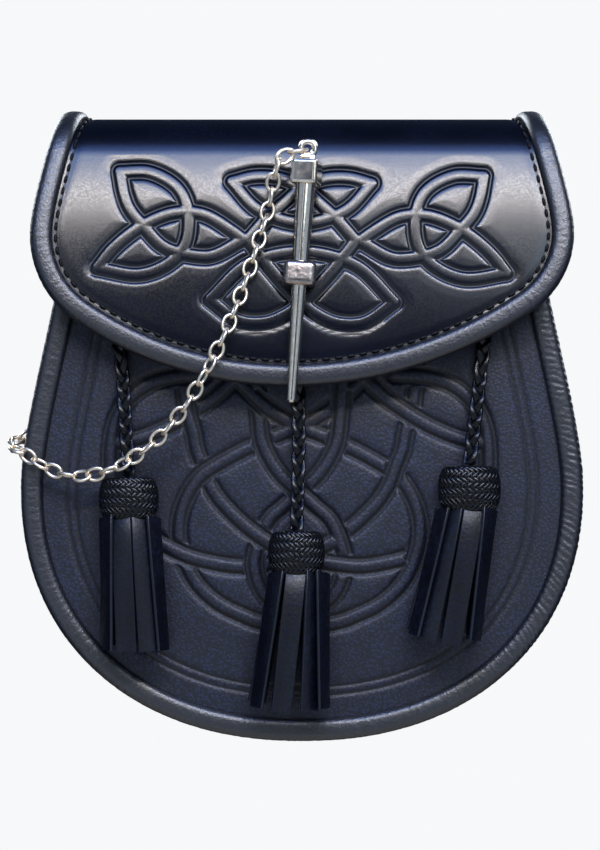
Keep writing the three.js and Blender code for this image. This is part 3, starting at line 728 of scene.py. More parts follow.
stitch_line = inset(edge_path, STITCH_INSET, True)
stitch_line = np.roll(stitch_line, -int(np.argmin(stitch_line[:, 1])), 0)
stitch_line = even(stitch_line[stitch_line[:, 1] > SEAM_START], STITCH_PITCH)
stitch_ahead = np.gradient(stitch_line, axis=0) * 0.2
stitch_out = SHEET / 2 - STITCH_DIP + STITCH_OUT
stitch_places, stitch_normals = on_sheet(*stitch_line.T, stitch_out)
stitch_along = on_sheet(*(stitch_line + stitch_ahead).T, stitch_out)[0] - stitch_places
thread = leather("waxed thread", (0.001, 0.0015, 0.004), (0.003, 0.004, 0.009),
                 roughness=0.55, bump=0.2, pebbles=2500.0, shine=0.25)
stitches = grow(turned_points("stitch_seed", stitch_places, stitch_along, stitch_normals),
                stitch_tree(), "flap_stitches", Length=STITCH_LONG * MM, Thread=THREAD * MM,
                Material=thread)
fit(stitches, thread, "binding")

# ---------------------------------------------------------------- the front panel
# The pouch's front, 2 mm of the same leather, slightly bulged. A groove runs round inside its
# edge, and a larger knot is pressed into it, whose bands pass over and under each other.

# The panel's thickness, its depth, its upper edge, and its bulge inside a flat rim
PANEL, PANEL_Y, MOUTH_Z, BULGE, FLAT_RIM = 2.0, -40.0, 10.5, 3.5, 8.6
FRONT_KNOT = {
    "S": [(24, -42.5), (18.5, -48), (13, -53.5), (6.5, -58), (0, -61.5), (-6.5, -64),
          (-17, -68.5), (-26.5, -73.5), (-34, -78.5), (-38.5, -85), (-41, -92),
          (-41.5, -98.5), (-40, -106), (-37.5, -112), (-34, -117), (-27.5, -122.5),
          (-20.5, -126), (-14, -128.5), (0, -130.5)],
    "D": [(-15, -42.5), (-14.5, -50.5), (-14, -57.5), (-13, -66), (-10.5, -72), (-6.5, -78),
          (-0.5, -83.5), (5.5, -89), (10, -93), (12.5, -97.5), (14.5, -103), (15.5, -108),
          (14.5, -114), (11.5, -119.5), (6.5, -123), (0, -124)],
    "A": [(-41, -42.5), (-39.5, -49.5), (-38.5, -56.5), (-36.5, -63.5), (-35.5, -69),
          (-33, -75.5), (-31, -81), (-28, -86), (-21.5, -93), (-15.5, -98), (-9.5, -102),
          (0, -106.5), (10.5, -108.5), (21, -109.5), (31, -108), (38.5, -106), (44, -103.5),
          (48.5, -101)],
    "leaf": [(-48.5, -101), (-55, -97.5), (-60.5, -91.5), (-64, -83), (-65, -73), (-64, -62.5),
             (-61, -55), (-56, -49.5), (-50, -46), (-41.5, -44), (-33, -43.5)],
    "E": [(-21.5, -44), (-29.5, -51.5), (-34.5, -55), (-41.5, -59.5), (-48.5, -63),
          (-55, -65.5), (-61.5, -67)],
}
# Where two bands cross: the place, the band on top and the one below
FRONT_CROSSINGS = [
    (-13, -66.5, "DL", "SL"), (13, -66.5, "DR", "SR"), (-13, -53.5, "SR", "DL"),
    (13, -53.5, "DR", "SL"), (-33.5, -76, "SL", "AL"), (34, -76, "AR", "SR"),
    (-15.5, -98, "AL", "DR"), (15.5, -97, "DL", "AR"), (-16, -108.5, "DR", "AR"),
    (16.5, -108.5, "AL", "DL"), (-40.5, -105, "AR", "SL"), (40.5, -105, "SR", "AL"),
    (-0.5, -83.5, "DL", "DR"), (37.5, -57, "ER", "AR"), (-37.5, -57, "AL", "EL"),
    (-41, -44.5, "leafL", "AL"), (41, -44.5, "leafR", "AR"),
]
FRONT_PRESS = [(0, -0.05), (0.9, -0.14), (1.6, -0.42), (2.25, -1.05), (2.8, -1.1),
               (3.4, -0.42), (4.4, -0.12), (6.8, 0)]
FRONT_KNOT_X, PRESSED_FROM, BORDER_INSET, BORDER_HALF = -0.86, -18, 17.2, 1.5
BORDER_PRESS = [(0, -0.16), (0.6, -0.2), (1.2, -0.6), (1.7, -0.64), (2.2, -0.2), (3.0, -0.04),
                (4.0, 0)]


def front_line():
    """The body's edge from the mouth's right end, down round the base and up to its left end."""
    half = body_half()
    side = half[BEZIER_PARTS::-1]
    start = (np.interp(MOUTH_Z, side[:, 1], side[:, 0]), MOUTH_Z)
    right = np.concatenate([[start], half[half[:, 1] < MOUTH_Z - 0.5]])
    return np.concatenate([right, (right * (-1, 1))[-2::-1]])


body_line = front_line()
middle_point = len(body_line) // 2
half_heights, half_widths = body_line[middle_point::-1, 1], body_line[middle_point::-1, 0]
panel_edge = inset(body_line, EDGE_INSET)[middle_point::-1]


def bulge(x, z):
    """How far the panel stands out at a place: most in its middle, nothing at its flat rim."""
    middle = (MOUTH_Z + WIDEST_Z - BASE_DROP + FLAT_RIM) / 2
    widths = np.maximum(np.interp(z, half_heights, half_widths) - FLAT_RIM, 1)
    side = np.maximum(1 - (x / widths) ** 2, 0)
    return BULGE * side * np.maximum(1 - ((z - middle) / (MOUTH_Z - middle)) ** 2, 0)


def panel_face(x, z):
    """The depth of the panel's outer face before it is pressed."""
    return PANEL_Y - PANEL / 2 - bulge(x, z)


front_strands = both_hands(FRONT_KNOT, FRONT_KNOT_X)
border_line = even(inset(body_line, BORDER_INSET), STRAND_STEP)


def panel_lines(x, z):
    """How far each place is from the middle of the knot's bands, and of the border."""
    places = np.stack([x, z], 1)
    band, border = np.full(len(x), PRESS_REACH), np.full(len(x), FAR_AWAY)
    near = z < PRESSED_FROM
    band[near] = band_distance(places[near], front_strands, FRONT_CROSSINGS)
    border[near] = nearest(places[near], border_line)
    return band, border


def panel_height(x, z):
    """How far the pressed face lies out from the plain one: the deeper of knot and border."""
    band, border = panel_lines(x, z)
    return np.minimum(profile(band, FRONT_PRESS), profile(border, BORDER_PRESS))


def panel_width(level):
    """Half the panel's width at a height."""
    return float(np.interp(level, panel_edge[:, 1], panel_edge[:, 0]))


# The mesh starts at the foot where the panel is so wide, and is fine over the knot
FOOT_HALF, FLAP_COVERS = 9.0, -24
panel_foot = float(np.interp(FOOT_HALF, panel_edge[:30, 0], panel_edge[:30, 1]))
fine_levels = graded(panel_foot, (-157, 1.2), (-137, 0.62), (-40, 0.49), (FLAP_COVERS, 1.2),
                     (MOUTH_Z, 4))
fine_columns = mirrored_columns((70, 0.49), (88, 0.66), (WIDEST, 1.5))
plain_levels, plain_columns = graded(panel_foot, (MOUTH_Z, 6)), mirrored_columns((WIDEST, 6))


def panel_outside(x, z):
    """The panel's pressed outer face."""
    return np.stack([x, panel_face(x, z) - panel_height(x, z), z], 1)


def panel_inside(x, z):
    """The panel's plain inner face."""
    return np.stack([x, panel_face(x, z) + PANEL, z], 1)


front_panel, panel_flat = shell(
    "pressed_front", panel_width,
    (fine_levels, fine_columns, panel_outside), (plain_levels, plain_columns, panel_inside),
)
band, border = panel_lines(*panel_flat.T)
mark(front_panel, "band", band)
mark(front_panel, "line", border - BORDER_HALF)
NAVY_DARK, NAVY = (0.0100, 0.0145, 0.037), (0.0145, 0.0215, 0.054)
pressed = leather("navy leather, pressed front", NAVY_DARK, NAVY, roughness=0.46, bump=0.8,
                  pebbles=1000.0, grooves=((2.3, 1.7), 0.9))
fit(front_panel, pressed, "leather", "front_panel")

# ---------------------------------------------------------------- the front panel's binding
# The same thin black leather, wrapped round the panel's edge from one end of the mouth to the
# other. Down the right-hand side it is gathered tightly into slanting puckers.

front_edge = even(body_line, 0.46)
front_middle = inset(front_edge, PIPE_R)
front_inward = unit(inset(front_edge, PIPE_R + 1) - front_middle)


def upright(flat, y):
    """Flat (x, z) points stood up at a depth y."""
    return np.stack([flat[:, 0], np.broadcast_to(y, len(flat)), flat[:, 1]], 1)


# The heights between which the puckers come in, stay full and go out again, and the depth and
# lean of the gathers where they are smooth and where they are puckered
PUCKERS_AT, SMOOTH_FOLD, PUCKER_FOLD, SMOOTH_LEAN, PUCKER_LEAN = (
    (-144, -132, -24, -14), 0.05, 0.38, 0.5, 1.8)
right_side = front_middle[:, 0] > 0
gathered = np.interp(front_middle[:, 1], PUCKERS_AT, (0, 1, 1, 0)) * right_side
front_gathers = np.stack([SMOOTH_FOLD + (PUCKER_FOLD - SMOOTH_FOLD) * gathered,
                          np.full(len(gathered), GATHER_PITCH),
                          SMOOTH_LEAN + (PUCKER_LEAN - SMOOTH_LEAN) * gathered], 1)
front_out = np.tile((0.0, -1.0, 0.0), (len(front_middle), 1))
front_binding = loft("front_piping", pipe_rings(
    upright(front_middle, PANEL_Y), upright(front_inward, 0), front_out, PANEL, front_gathers))
fit(front_binding, piping, "binding", "front_binding")

# ---------------------------------------------------------------- the gusset
# A folded strip of leather between the back and the front panel, round the sides and the base.
# Its fold points inward, so that the pouch can open, and its two long edges go into the bindings.

GUSSET_WALL, GUSSET_RISE, GUSSET_STEP, FOLD_STEP = 1.8, 4.0, 4.0, 2.0
GUSSET_BACK, GUSSET_FRONT = BACK_Y - SHEET / 2 - GAP, PANEL_Y + PANEL / 2 + GAP
# The fold from back to front: the depth, and how far it lies inside the body's outline
GUSSET_FOLD = [(GUSSET_BACK, 8.2), (-13, 10.6), (-22.1, 17), (-31.2, 10.6), (GUSSET_FRONT, 8.2)]
fold = spline(GUSSET_FOLD, FOLD_STEP)
gusset_line = even(body_line, GUSSET_STEP)
section = np.concatenate([fold, (fold + (0, GUSSET_WALL))[::-1]])
rings = []
for y, depth in section:
    ring = upright(inset(gusset_line, depth), y)
    lift = GUSSET_RISE * (y - PANEL_Y) / (BACK_Y - PANEL_Y)
    ring[[0, -1], 2] += lift  # its two ends rise toward the back
    rings.append(ring)
gusset = loft("folded_gusset", np.stack(rings, 1))
navy = leather("navy leather", NAVY_DARK, NAVY, roughness=0.27, bump=0.4, pebbles=1150.0)
fit(gusset, navy, "leather", "gusset")

# ---------------------------------------------------------------- the belt loops
# Two straps of the same leather, sewn flat to the back above and below, and standing off it
# between, so that a belt goes through them.

# How far across the loops are, half a strap's width, its thickness and its rounded edge
LOOP_X, LOOP_HALF, LOOP_THICK, LOOP_EDGE = 38, 10, 2.2, 0.7
# Half the strap's height, half its opening's, the slope at either end, and how far it stands off
LOOP_PAD, LOOP_OPENING, LOOP_SLOPE, LOOP_FACE = 24, 16, 3, 3
loop_rest = BACK_Y + SHEET / 2 + GAP


def strap_section(half, thick, edge):
    """A strap's section as (across, through), with rounded long edges."""
    angle = np.linspace(0, math.pi / 2, 5)
    corner = edge * np.stack([np.cos(angle), np.sin(angle)], 1) + (half - edge, thick / 2 - edge)
    right = np.concatenate([(corner * (1, -1))[::-1], corner])
    return np.concatenate([right, (right * (-1, 1))[::-1]])


def belt_loop(name, x):
    """One strap: flat on the back, out over the belt's room, and flat again."""
    half = LOOP_THICK / 2
    ways = [(-LOOP_PAD, loop_rest), (-LOOP_OPENING - 1, loop_rest),
            (-LOOP_OPENING + LOOP_SLOPE, LOOP_FACE), (LOOP_OPENING - LOOP_SLOPE, LOOP_FACE),
            (LOOP_OPENING + 1, loop_rest), (LOOP_PAD, loop_rest)]
    line = even(np.array(ways) + (0, half), 1.0)
    line[1:-1] = (line[:-2] + line[1:-1] + line[2:]) / 3
    along = unit(np.gradient(line, axis=0))
    out = np.stack([-along[:, 1], along[:, 0]], 1)
    across = strap_section(LOOP_HALF, LOOP_THICK, LOOP_EDGE)
    rings = np.empty((len(line), len(across), 3))
    rings[..., 0] = x + across[:, 0]
    rings[..., 1] = line[:, None, 1] + out[:, None, 1] * across[:, 1]
    rings[..., 2] = line[:, None, 0] + out[:, None, 0] * across[:, 1]
    return fit(loft(f"{name}_strap", rings), navy, "leather", name)


for name, side in (("belt_loop_left", -1), ("belt_loop_right", 1)):
    belt_loop(name, side * LOOP_X)

# ---------------------------------------------------------------- the staple and the closing pin
# A cast staple comes through a slot in the flap and is fixed to the front panel. A tapered pin
# with a square head and an eye goes down through it and holds the flap shut. Bright nickel.
# The flap's slot and the pin's bore are only in the solids: here the neck and the pin run
# through closed pieces.

# The staple's block and where it stands off the flap, its foot on the panel, and the neck
# that runs between them and into the block
BLOCK_W, BLOCK_D, BLOCK_H, BLOCK_ROUND = 11.2, 8.4, 8.6, 2.0
BLOCK_X, BLOCK_Z, BLOCK_OFF = -0.8, -9.3, 0.5
FOOT_W, FOOT_H, FOOT_THICK, FOOT_EDGE, FOOT_OFF = 14, 9, 1.2, 0.4, GAP + 0.2
NECK_W, NECK_H, NECK_EDGE, NECK_IN = 5, 3, 0.5, 1
# The pin: how it leans, its shaft and rounded tip, its head above the block, and its eye
PIN_LEAN, PIN_LENGTH, PIN_TOP_R, HEAD_UP = (0.0667, 0.123, 1), 75.5, 3.4, 35.0
PIN_TIP = [(0, 0), (0.9, 0.25), (1.4, 0.7), (1.6, 1.4)]
HEAD_SIDE, HEAD_H, HEAD_TURN, HEAD_EDGE = 9.2, 8.4, math.radians(-14), 0.9
EYE_R, EYE_WIRE, EYE_UP, EYE_NECK, EYE_NECK_UP = 2.4, 1.1, 4.2, (5, 2.2, 2.6), 0.8
# Edges sharper than this stay sharp; and the sides of what is turned, of a ring and of its wire
SHARP_ABOVE, ROUND_SIDES, RING_SIDES, WIRE_SIDES = math.radians(40), 40, 36, 14
front_edge_of_roll = on_sheet(np.array([0.0]), np.array([FRONT_START]))[0][0]
flap_centre_y = front_edge_of_roll[1] - FRONT_R * math.cos(ROLL_TURN)
flap_centre_z = front_edge_of_roll[2] - FRONT_R * math.sin(ROLL_TURN)


def flap_face(z):
    """The depth of the flap's outer face at a height, on its middle line."""
    return flap_centre_y - math.sqrt(FRONT_R**2 - (z - flap_centre_z) ** 2) - SHEET / 2


block_centre = Vector((BLOCK_X, flap_face(BLOCK_Z) - BLOCK_OFF - BLOCK_D / 2, BLOCK_Z))
pin_turn = Vector((0, 0, 1)).rotation_difference(Vector(PIN_LEAN).normalized())


def rounded_block(size, edge, parts=6):
    """A box with rounded edges: a cube of small squares, pressed onto its round."""
    shape = bmesh.new()
    bmesh.ops.create_cube(shape, size=2)
    bmesh.ops.subdivide_edges(shape, edges=shape.edges, cuts=2 * parts, use_grid_fill=True)
    half = Vector(size) / 2
    for corner in shape.verts:
        place = Vector([corner.co[i] * half[i] for i in range(3)])
        core = Vector([max(min(place[i], half[i] - edge), edge - half[i]) for i in range(3)])
        corner.co = core + (place - core).normalized() * edge if (place - core).length else place
    return shape


def from_shapes(name, *shapes):
    """One object from several bmesh shapes, each brought from millimetres to metres."""
    mesh = bpy.data.meshes.new(name)
    joined = bmesh.new()
    for shape in shapes:
        part = bpy.data.meshes.new("part")
        shape.to_mesh(part)
        joined.from_mesh(part)
        shape.free()
        bpy.data.meshes.remove(part)
    bmesh.ops.remove_doubles(joined, verts=joined.verts, dist=0.001)
    bmesh.ops.recalc_face_normals(joined, faces=joined.faces)
    bmesh.ops.scale(joined, vec=(MM, MM, MM), verts=joined.verts)
    joined.to_mesh(mesh)
    joined.free()
    mesh.shade_smooth()
    mesh.set_sharp_from_angle(angle=SHARP_ABOVE)
    piece = bpy.data.objects.new(name, mesh)
    bpy.context.collection.objects.link(piece)
    return piece


def turned(side):
    """A closed turned shape about Z from (radius, height) points that start and end on the axis."""
    shape = bmesh.new()
    angle = np.linspace(0, 2 * math.pi, ROUND_SIDES, endpoint=False)
    rings = []
    for r, z in side[1:-1]:
        rings.append([shape.verts.new((r * math.cos(a), r * math.sin(a), z)) for a in angle])
    foot, tip = shape.verts.new((0, 0, side[0][1])), shape.verts.new((0, 0, side[-1][1]))
    for lower, upper in zip(rings, rings[1:]):
        for i in range(ROUND_SIDES):
            j = (i + 1) % ROUND_SIDES
            shape.faces.new((lower[i], lower[j], upper[j], upper[i]))
    for i in range(ROUND_SIDES):
        j = (i + 1) % ROUND_SIDES
        shape.faces.new((foot, rings[0][j], rings[0][i]))
        shape.faces.new((tip, rings[-1][i], rings[-1][j]))
    return shape


def ring_shape(radius, wire):
    """A ring of round wire about Z."""
    shape = bmesh.new()
    loops = []
    for a in np.linspace(0, 2 * math.pi, RING_SIDES, endpoint=False):
        loop = []
        for b in np.linspace(0, 2 * math.pi, WIRE_SIDES, endpoint=False):
            r = radius + wire * math.cos(b)
            loop.append(shape.verts.new((r * math.cos(a), r * math.sin(a), wire * math.sin(b))))
        loops.append(loop)
    for loop, after in zip(loops, loops[1:] + loops[:1]):
        for j in range(WIRE_SIDES):
            k = (j + 1) % WIRE_SIDES
            shape.faces.new((loop[j], after[j], after[k], loop[k]))
    return shape


def move(shape, matrix):
    """A bmesh shape brought to its place."""
    bmesh.ops.transform(shape, matrix=matrix, verts=shape.verts)
    return shape


shaft_top = HEAD_UP - HEAD_H / 2
shaft_end = shaft_top - PIN_LENGTH
pin_frame = Matrix.Translation(block_centre) @ pin_turn.to_matrix().to_4x4()
shaft = turned([*[(r, shaft_end + up) for r, up in PIN_TIP], (PIN_TOP_R, shaft_top),
                (PIN_TOP_R, shaft_top + 1), (0, shaft_top + 1)])
head = move(rounded_block((HEAD_SIDE, HEAD_SIDE, HEAD_H), HEAD_EDGE),
            Matrix.Translation((0, 0, shaft_top + HEAD_H / 2)) @ Matrix.Rotation(HEAD_TURN, 4, "Z"))
eye = move(ring_shape(EYE_R, EYE_WIRE), Matrix.Translation((0, 0, shaft_top + HEAD_H + EYE_UP))
           @ Matrix.Rotation(math.pi / 2, 4, "X"))
eye_neck = move(rounded_block(EYE_NECK, NECK_EDGE, 2),
                Matrix.Translation((0, 0, shaft_top + HEAD_H + EYE_NECK_UP)))
pin = from_shapes("tapered_pin", *[move(part, pin_frame) for part in (shaft, head, eye, eye_neck)])

block = move(rounded_block((BLOCK_W, BLOCK_D, BLOCK_H), BLOCK_ROUND), pin_frame)
foot_y = panel_face(BLOCK_X, BLOCK_Z) - FOOT_OFF - FOOT_THICK / 2
neck_end = block_centre.y + BLOCK_D / 2 - NECK_IN
neck = move(rounded_block((NECK_W, foot_y - neck_end, NECK_H), NECK_EDGE, 2),
            Matrix.Translation((BLOCK_X, (foot_y + neck_end) / 2, BLOCK_Z)))
plate = move(rounded_block((FOOT_W, FOOT_THICK, FOOT_H), FOOT_EDGE, 2),
             Matrix.Translation((BLOCK_X, foot_y, BLOCK_Z)))
staple = from_shapes("cast_staple", block, neck, plate)


def nickel_finish(name, rough, tone, hammered=0.12):
    """Nickel plate: bright and slightly clouded, and more or less hammered."""
    material, tree, shader = new_material(name)
    shader.inputs["Metallic"].default_value = 1.0
    place = add(tree, "ShaderNodeTexCoord").outputs["Object"]
    cloud = noise_at(tree, place, 420.0, 5.0).outputs["Fac"]
    cloudy = tuple(0.82 * part for part in tone)
    tree.links.new(ramp(tree, cloud, (0.35, cloudy), (0.62, tone)), shader.inputs["Base Color"])
    drawn = between(tree, cloud, 0.3, 0.7, rough + 0.08, rough - 0.04)
    tree.links.new(drawn, shader.inputs["Roughness"])
    dents = noise_at(tree, place, 240.0, 2.0).outputs["Fac"]
    bump = add(tree, "ShaderNodeBump", {"Strength": hammered, "Distance": 0.0004, "Height": dents})
    tree.links.new(bump.outputs[0], shader.inputs["Normal"])
    return material


nickel = nickel_finish("nickel", 0.16, (0.86, 0.77, 0.64))
fit(pin, nickel, "nickel", "closing_pin")
# The staple's nickel is a much darker copy of the pin's, as painted shade, and is rougher and more
# hammered.
fit(staple, nickel_finish("cast nickel, darkened as painted shade", 0.27, (0.40, 0.35, 0.32), 0.9), "nickel", "staple")

# ---------------------------------------------------------------- the chain and its anchor
# A fine chain of round wire links, each turned a quarter from the last. It runs from the pin's
# eye down across the pouch to a small ring on a plate, which is riveted to the left gusset.

LINK_W, LINK_WIRE, LINK_SLACK, LINK_COUNT = 5.6, 1.12, 0.2, 39
# The wire is shown a third thicker than its solids. They keep clear of each other, and the
# links here press into each other a little where they bear.
WIRE_SWELL = 1.12
# The chain's way as (x, y, z), from the pin's eye to the anchor's ring
CHAIN_WAY = [
    (1.1, -51.7, 33.2), (-4.3, -53.1, 32.2), (-8.3, -53.8, 28.8), (-9.7, -52.9, 23.6),
    (-11.0, -51.3, 15.5), (-15.4, -54.0, 0.3), (-20.5, -57.0, -15.1), (-26.4, -60.3, -29.9),
    (-33.5, -61.2, -44.1), (-41.3, -60.2, -56.6), (-52.0, -57.6, -68.0), (-64.5, -55.0, -75.8),
    (-72.9, -52.4, -78.2), (-82.0, -49.6, -77.8), (-90.8, -47.8, -73.5), (-95.6, -46.6, -70.4),
    (-99.2, -43.4, -68.6), (-99.9, -38.4, -67.0), (-97.3, -34.4, -65.6), (-93.1, -31.6, -64.4),
    (-88.9, -28.5, -63.3), (-84.6, -25.5, -62.5),
]
# Between these links the chain is twisted back, by so many degrees a link
TWISTED, TWIST = [(16, 19), (25, 31)], 30


def link_roll(number):
    """How far a link is turned about the chain's line: a quarter each, less where it twists."""
    slack = sum(min(max(number, start), end) - start for start, end in TWISTED)
    return math.radians(90 * number - TWIST * slack)


def chain_tree():
    """One oval link of round wire on each point."""
    tree, given, result = node_maker("chain", Width=0.0055, Wire=0.00092, Length=0.0072,
                                     Material=None)
    wire = given.outputs["Wire"]
    circle = add(tree, "GeometryNodeCurvePrimitiveCircle", {"Resolution": 24, "Radius": 1.0})
    halves = [maths(tree, "MULTIPLY", maths(tree, "SUBTRACT", given.outputs[label], wire), 0.5)
              for label in ("Length", "Width")]
    size = add(tree, "ShaderNodeCombineXYZ", {"X": halves[0], "Y": halves[1], "Z": 1.0})
    oval = add(tree, "GeometryNodeTransform", {"Geometry": circle.outputs["Curve"],
                                               "Scale": size.outputs[0]})
    round_wire = add(tree, "GeometryNodeCurvePrimitiveCircle",
                     {"Resolution": 10, "Radius": maths(tree, "MULTIPLY", wire, 0.5)})
    link = add(tree, "GeometryNodeCurveToMesh", {"Curve": oval.outputs[0],
                                                 "Profile Curve": round_wire.outputs["Curve"]})
    return end_tree(tree, given, result, put_on_points(tree, given, link.outputs[0]))


chain_line = spline(CHAIN_WAY, 0.2)
chain_run = run_along(chain_line)
# Where each link holds the next, at even steps along the chain
holds = np.stack([np.interp(np.linspace(0, chain_run[-1], LINK_COUNT + 1), chain_run, column)
                  for column in chain_line.T], 1)
pitch = chain_run[-1] / LINK_COUNT
normal, faces_of_links = Vector((0, -1, 0)), []
for number in range(LINK_COUNT):
    along = Vector(holds[number + 1] - holds[number]).normalized()
    normal = (normal - along * normal.dot(along)).normalized()
    faces_of_links.append(Matrix.Rotation(link_roll(number + 1), 3, along) @ normal)
chain_seed = turned_points("chain_seed", (holds[1:] + holds[:-1]) / 2, np.diff(holds, axis=0),
                           faces_of_links)
chain_nickel = nickel_finish("chain nickel", 0.34, (1.0, 0.87, 0.68))
chain = grow(chain_seed, chain_tree(), "chain", Width=LINK_W * MM, Wire=LINK_WIRE * WIRE_SWELL * MM,
             Length=(pitch + 2 * LINK_WIRE + LINK_SLACK) * MM, Material=chain_nickel)
fit(chain, chain_nickel, "nickel",
    *[f"chain_link_{number:02d}" for number in range(1, LINK_COUNT + 1)])

ANCHOR, ANCHOR_LEAN, BUTTON_X, RING_X, RING_R, RING_WIRE = (
    (-82.4, -25.7, -62.5), math.radians(35), 0.4, -1.5, 2.2, 0.7)
BUTTON = [(0, 0), (3.6, 0), (4, 0.3), (4, 0.7), (3.5, 1), (0, 1)]
anchor_frame = Matrix.Translation(ANCHOR) @ Matrix.Rotation(-ANCHOR_LEAN, 4, "Z")
button = move(turned(BUTTON),
              Matrix.Translation((BUTTON_X, 0, 0)) @ Matrix.Rotation(math.pi / 2, 4, "Y"))
anchor_ring = move(ring_shape(RING_R, RING_WIRE), Matrix.Translation((RING_X, 0, 0)))
anchor = from_shapes("anchor_ring", move(button, anchor_frame), move(anchor_ring, anchor_frame))
fit(anchor, nickel, "nickel", "chain_anchor")

# ---------------------------------------------------------------- the tassels
# Three tassels hang from the front on thongs of three plaited laces. Each has a knob woven from
# one thin lace, and a fringe of thick leather strips, cut from one piece and rolled.

CORD_D, KNOB_DEPTH = 4.6, 13.5
# Each tassel: its thong's way as (x, z), its knob's middle, width and height, and its strips.
# A strip is given by its two edges under the knob, its two edges at its foot and its length.
TASSELS = {
    "left": dict(
        way=[(-63.3, -29.9), (-61.9, -40), (-60.4, -62)], knob=(-59.3, -86),
        width=20.6, height=15.1,
        strips=[(-9.6, -5.9, -10.2, -4.2, 45.5), (-5.9, 0.7, -4.2, 2.9, 46),
                (0.7, 7.4, 2.9, 11, 45.8), (7.4, 9.6, 11, 12.9, 45.5)]),
    "middle": dict(
        way=[(-1.9, -36.5), (-1.2, -52.3), (-1.2, -76)], knob=(-1.9, -104.7),
        width=19.6, height=15.5,
        strips=[(-9.8, -4, -16.7, -10.6, 46), (-4, 3.8, -9.5, -0.9, 47.5),
                (3.8, 8, 1, 7.5, 47), (8, 10, 7.5, 11.2, 46.5)]),
    "right": dict(
        way=[(62.6, -30.5), (61, -45.4), (58.9, -62)], knob=(57.3, -82.7),
        width=21.7, height=16.2,
        strips=[(-10, -8.5, -20, -18.1, 43), (-8.5, -2.1, -18.1, -11.3, 45),
                (-2.1, 5.1, -11.3, -1.6, 46.5), (5.1, 9, -1.2, 4.6, 45)]),
}
# A thong comes out of the leather so far above its way's start, and leaves it so far out
THONG_IN_UP, THONG_OUT_UP, THONG_OUT = 2.2, 1.6, 1.6
# The plait: how far its laces swing to the side and in depth, its pitch, and a lace's section
PLAIT_SIDE, PLAIT_DEPTH, PLAIT_PITCH, LACE_W, LACE_THICK = 1.3, 0.8, 19.0, 2.7, 1.3
PLAIT_FACING, PLAIT_UNEVEN, KNOB_UNEVEN = 0.5, (0.5, 9.0, 17), (0.035, 0.6, 23)
# The knob: the turns and swings of its lace, the lace's section, its weave and how deep it lies
KNOB_TURNS, KNOB_SWINGS, KNOB_LACE, KNOB_LACE_FLAT, KNOB_WEAVE, KNOB_SUNK, KNOB_CORE = (
    17, 30, 1.25, 0.42, 0.17, 0.45, 1.0)
SWING_POINTS, KNOB_TALL, SWING_SHARP, CORE_TALL, RIM_FADE = 90, 0.93, 0.985, 0.95, 0.8
# How much narrower the knob is at its rims, how late that comes, and how its rims face up
KNOB_TAPER, TAPER_POWER, KNOB_CROWN = 0.4, 2.6, 0.7
# A strip's section, its rounded edge, and where it turns lighter toward its edges, as parts of its
# width from the middle
STRIP_W, STRIP_THICK, STRIP_EDGE, LIGHTER_EDGE_FROM, LIGHTER_EDGE_TO = 7.0, 1.1, 0.28, 0.47, 0.49
# The fringe: how high up in the knob it starts, its inner layer, and how it bends outward
FRINGE_UP, FRINGE_NARROWER, FRINGE_SHORTER, FRINGE_OUT, FRINGE_BEND = 1.2, 0.85, 0.97, 3.0, 5
# Its strips lie round a core of this part of the knob's width and depth, and turn at most so far.
# On the outer two tassels the rear strips dip about a millimetre into the bulged front.
FRINGE_ROUND, FRINGE_DEEP, MOST_TURN = 0.42, 0.3, 0.8
# A strip's twist at its foot and how it changes from strip to strip, and its flare at the top
STRIP_TWIST, TWIST_CHANGE, STRIP_FLARE, FLARE_DROP, STRIP_SWELL = 0.22, 2.7, 0.3, 4.5, 1.02


def lace_tree(name, flat):
    """Laces along polylines, oval or cut flat, whose broad side faces the kept direction."""
    tree, given, result = node_maker(name, Width=0.002, Thickness=0.0012, Material=None)
    width, thick = given.outputs["Width"], given.outputs["Thickness"]
    line = add(tree, "GeometryNodeMeshToCurve", {"Mesh": given.outputs["Geometry"]})
    facing = add(tree, "GeometryNodeSetCurveNormal",
                 {"Curve": line.outputs[0], "Normal": named(tree, "facing")}, mode="FREE")
    sized = add(tree, "GeometryNodeSetCurveRadius",
                {"Curve": facing.outputs[0], "Radius": named(tree, "size", "FLOAT")})
    if flat:
        cut = add(tree, "GeometryNodeCurvePrimitiveQuadrilateral",
                  {"Width": thick, "Height": width})
        soft = add(tree, "GeometryNodeFilletCurve", {"Curve": cut.outputs[0], "Count": 2,
                   "Radius": STRIP_EDGE * MM}, mode="POLY")
        place = add(tree, "ShaderNodeSeparateXYZ",
                    {0: add(tree, "GeometryNodeInputPosition").outputs[0]})
        part = maths(tree, "DIVIDE", maths(tree, "ABSOLUTE", place.outputs["Y"]), width)
        section = add(tree, "GeometryNodeStoreNamedAttribute", {"Geometry": soft.outputs[0],
                      "Name": "cut", "Value": part}, data_type="FLOAT")
    else:
        circle = add(tree, "GeometryNodeCurvePrimitiveCircle", {"Resolution": 10, "Radius": 0.5})
        size = add(tree, "ShaderNodeCombineXYZ", {"X": thick, "Y": width, "Z": 1.0})
        section = add(tree, "GeometryNodeTransform", {"Geometry": circle.outputs["Curve"],
                                                      "Scale": size.outputs[0]})
    tube = add(tree, "GeometryNodeCurveToMesh", {"Curve": sized.outputs[0],
               "Profile Curve": section.outputs[0], "Fill Caps": True})
    smooth = add(tree, "GeometryNodeSetShadeSmooth", {"Geometry": tube.outputs[0]})
    return end_tree(tree, given, result, smooth.outputs[0])


lace, strip_lace = lace_tree("lace", False), lace_tree("strip", True)


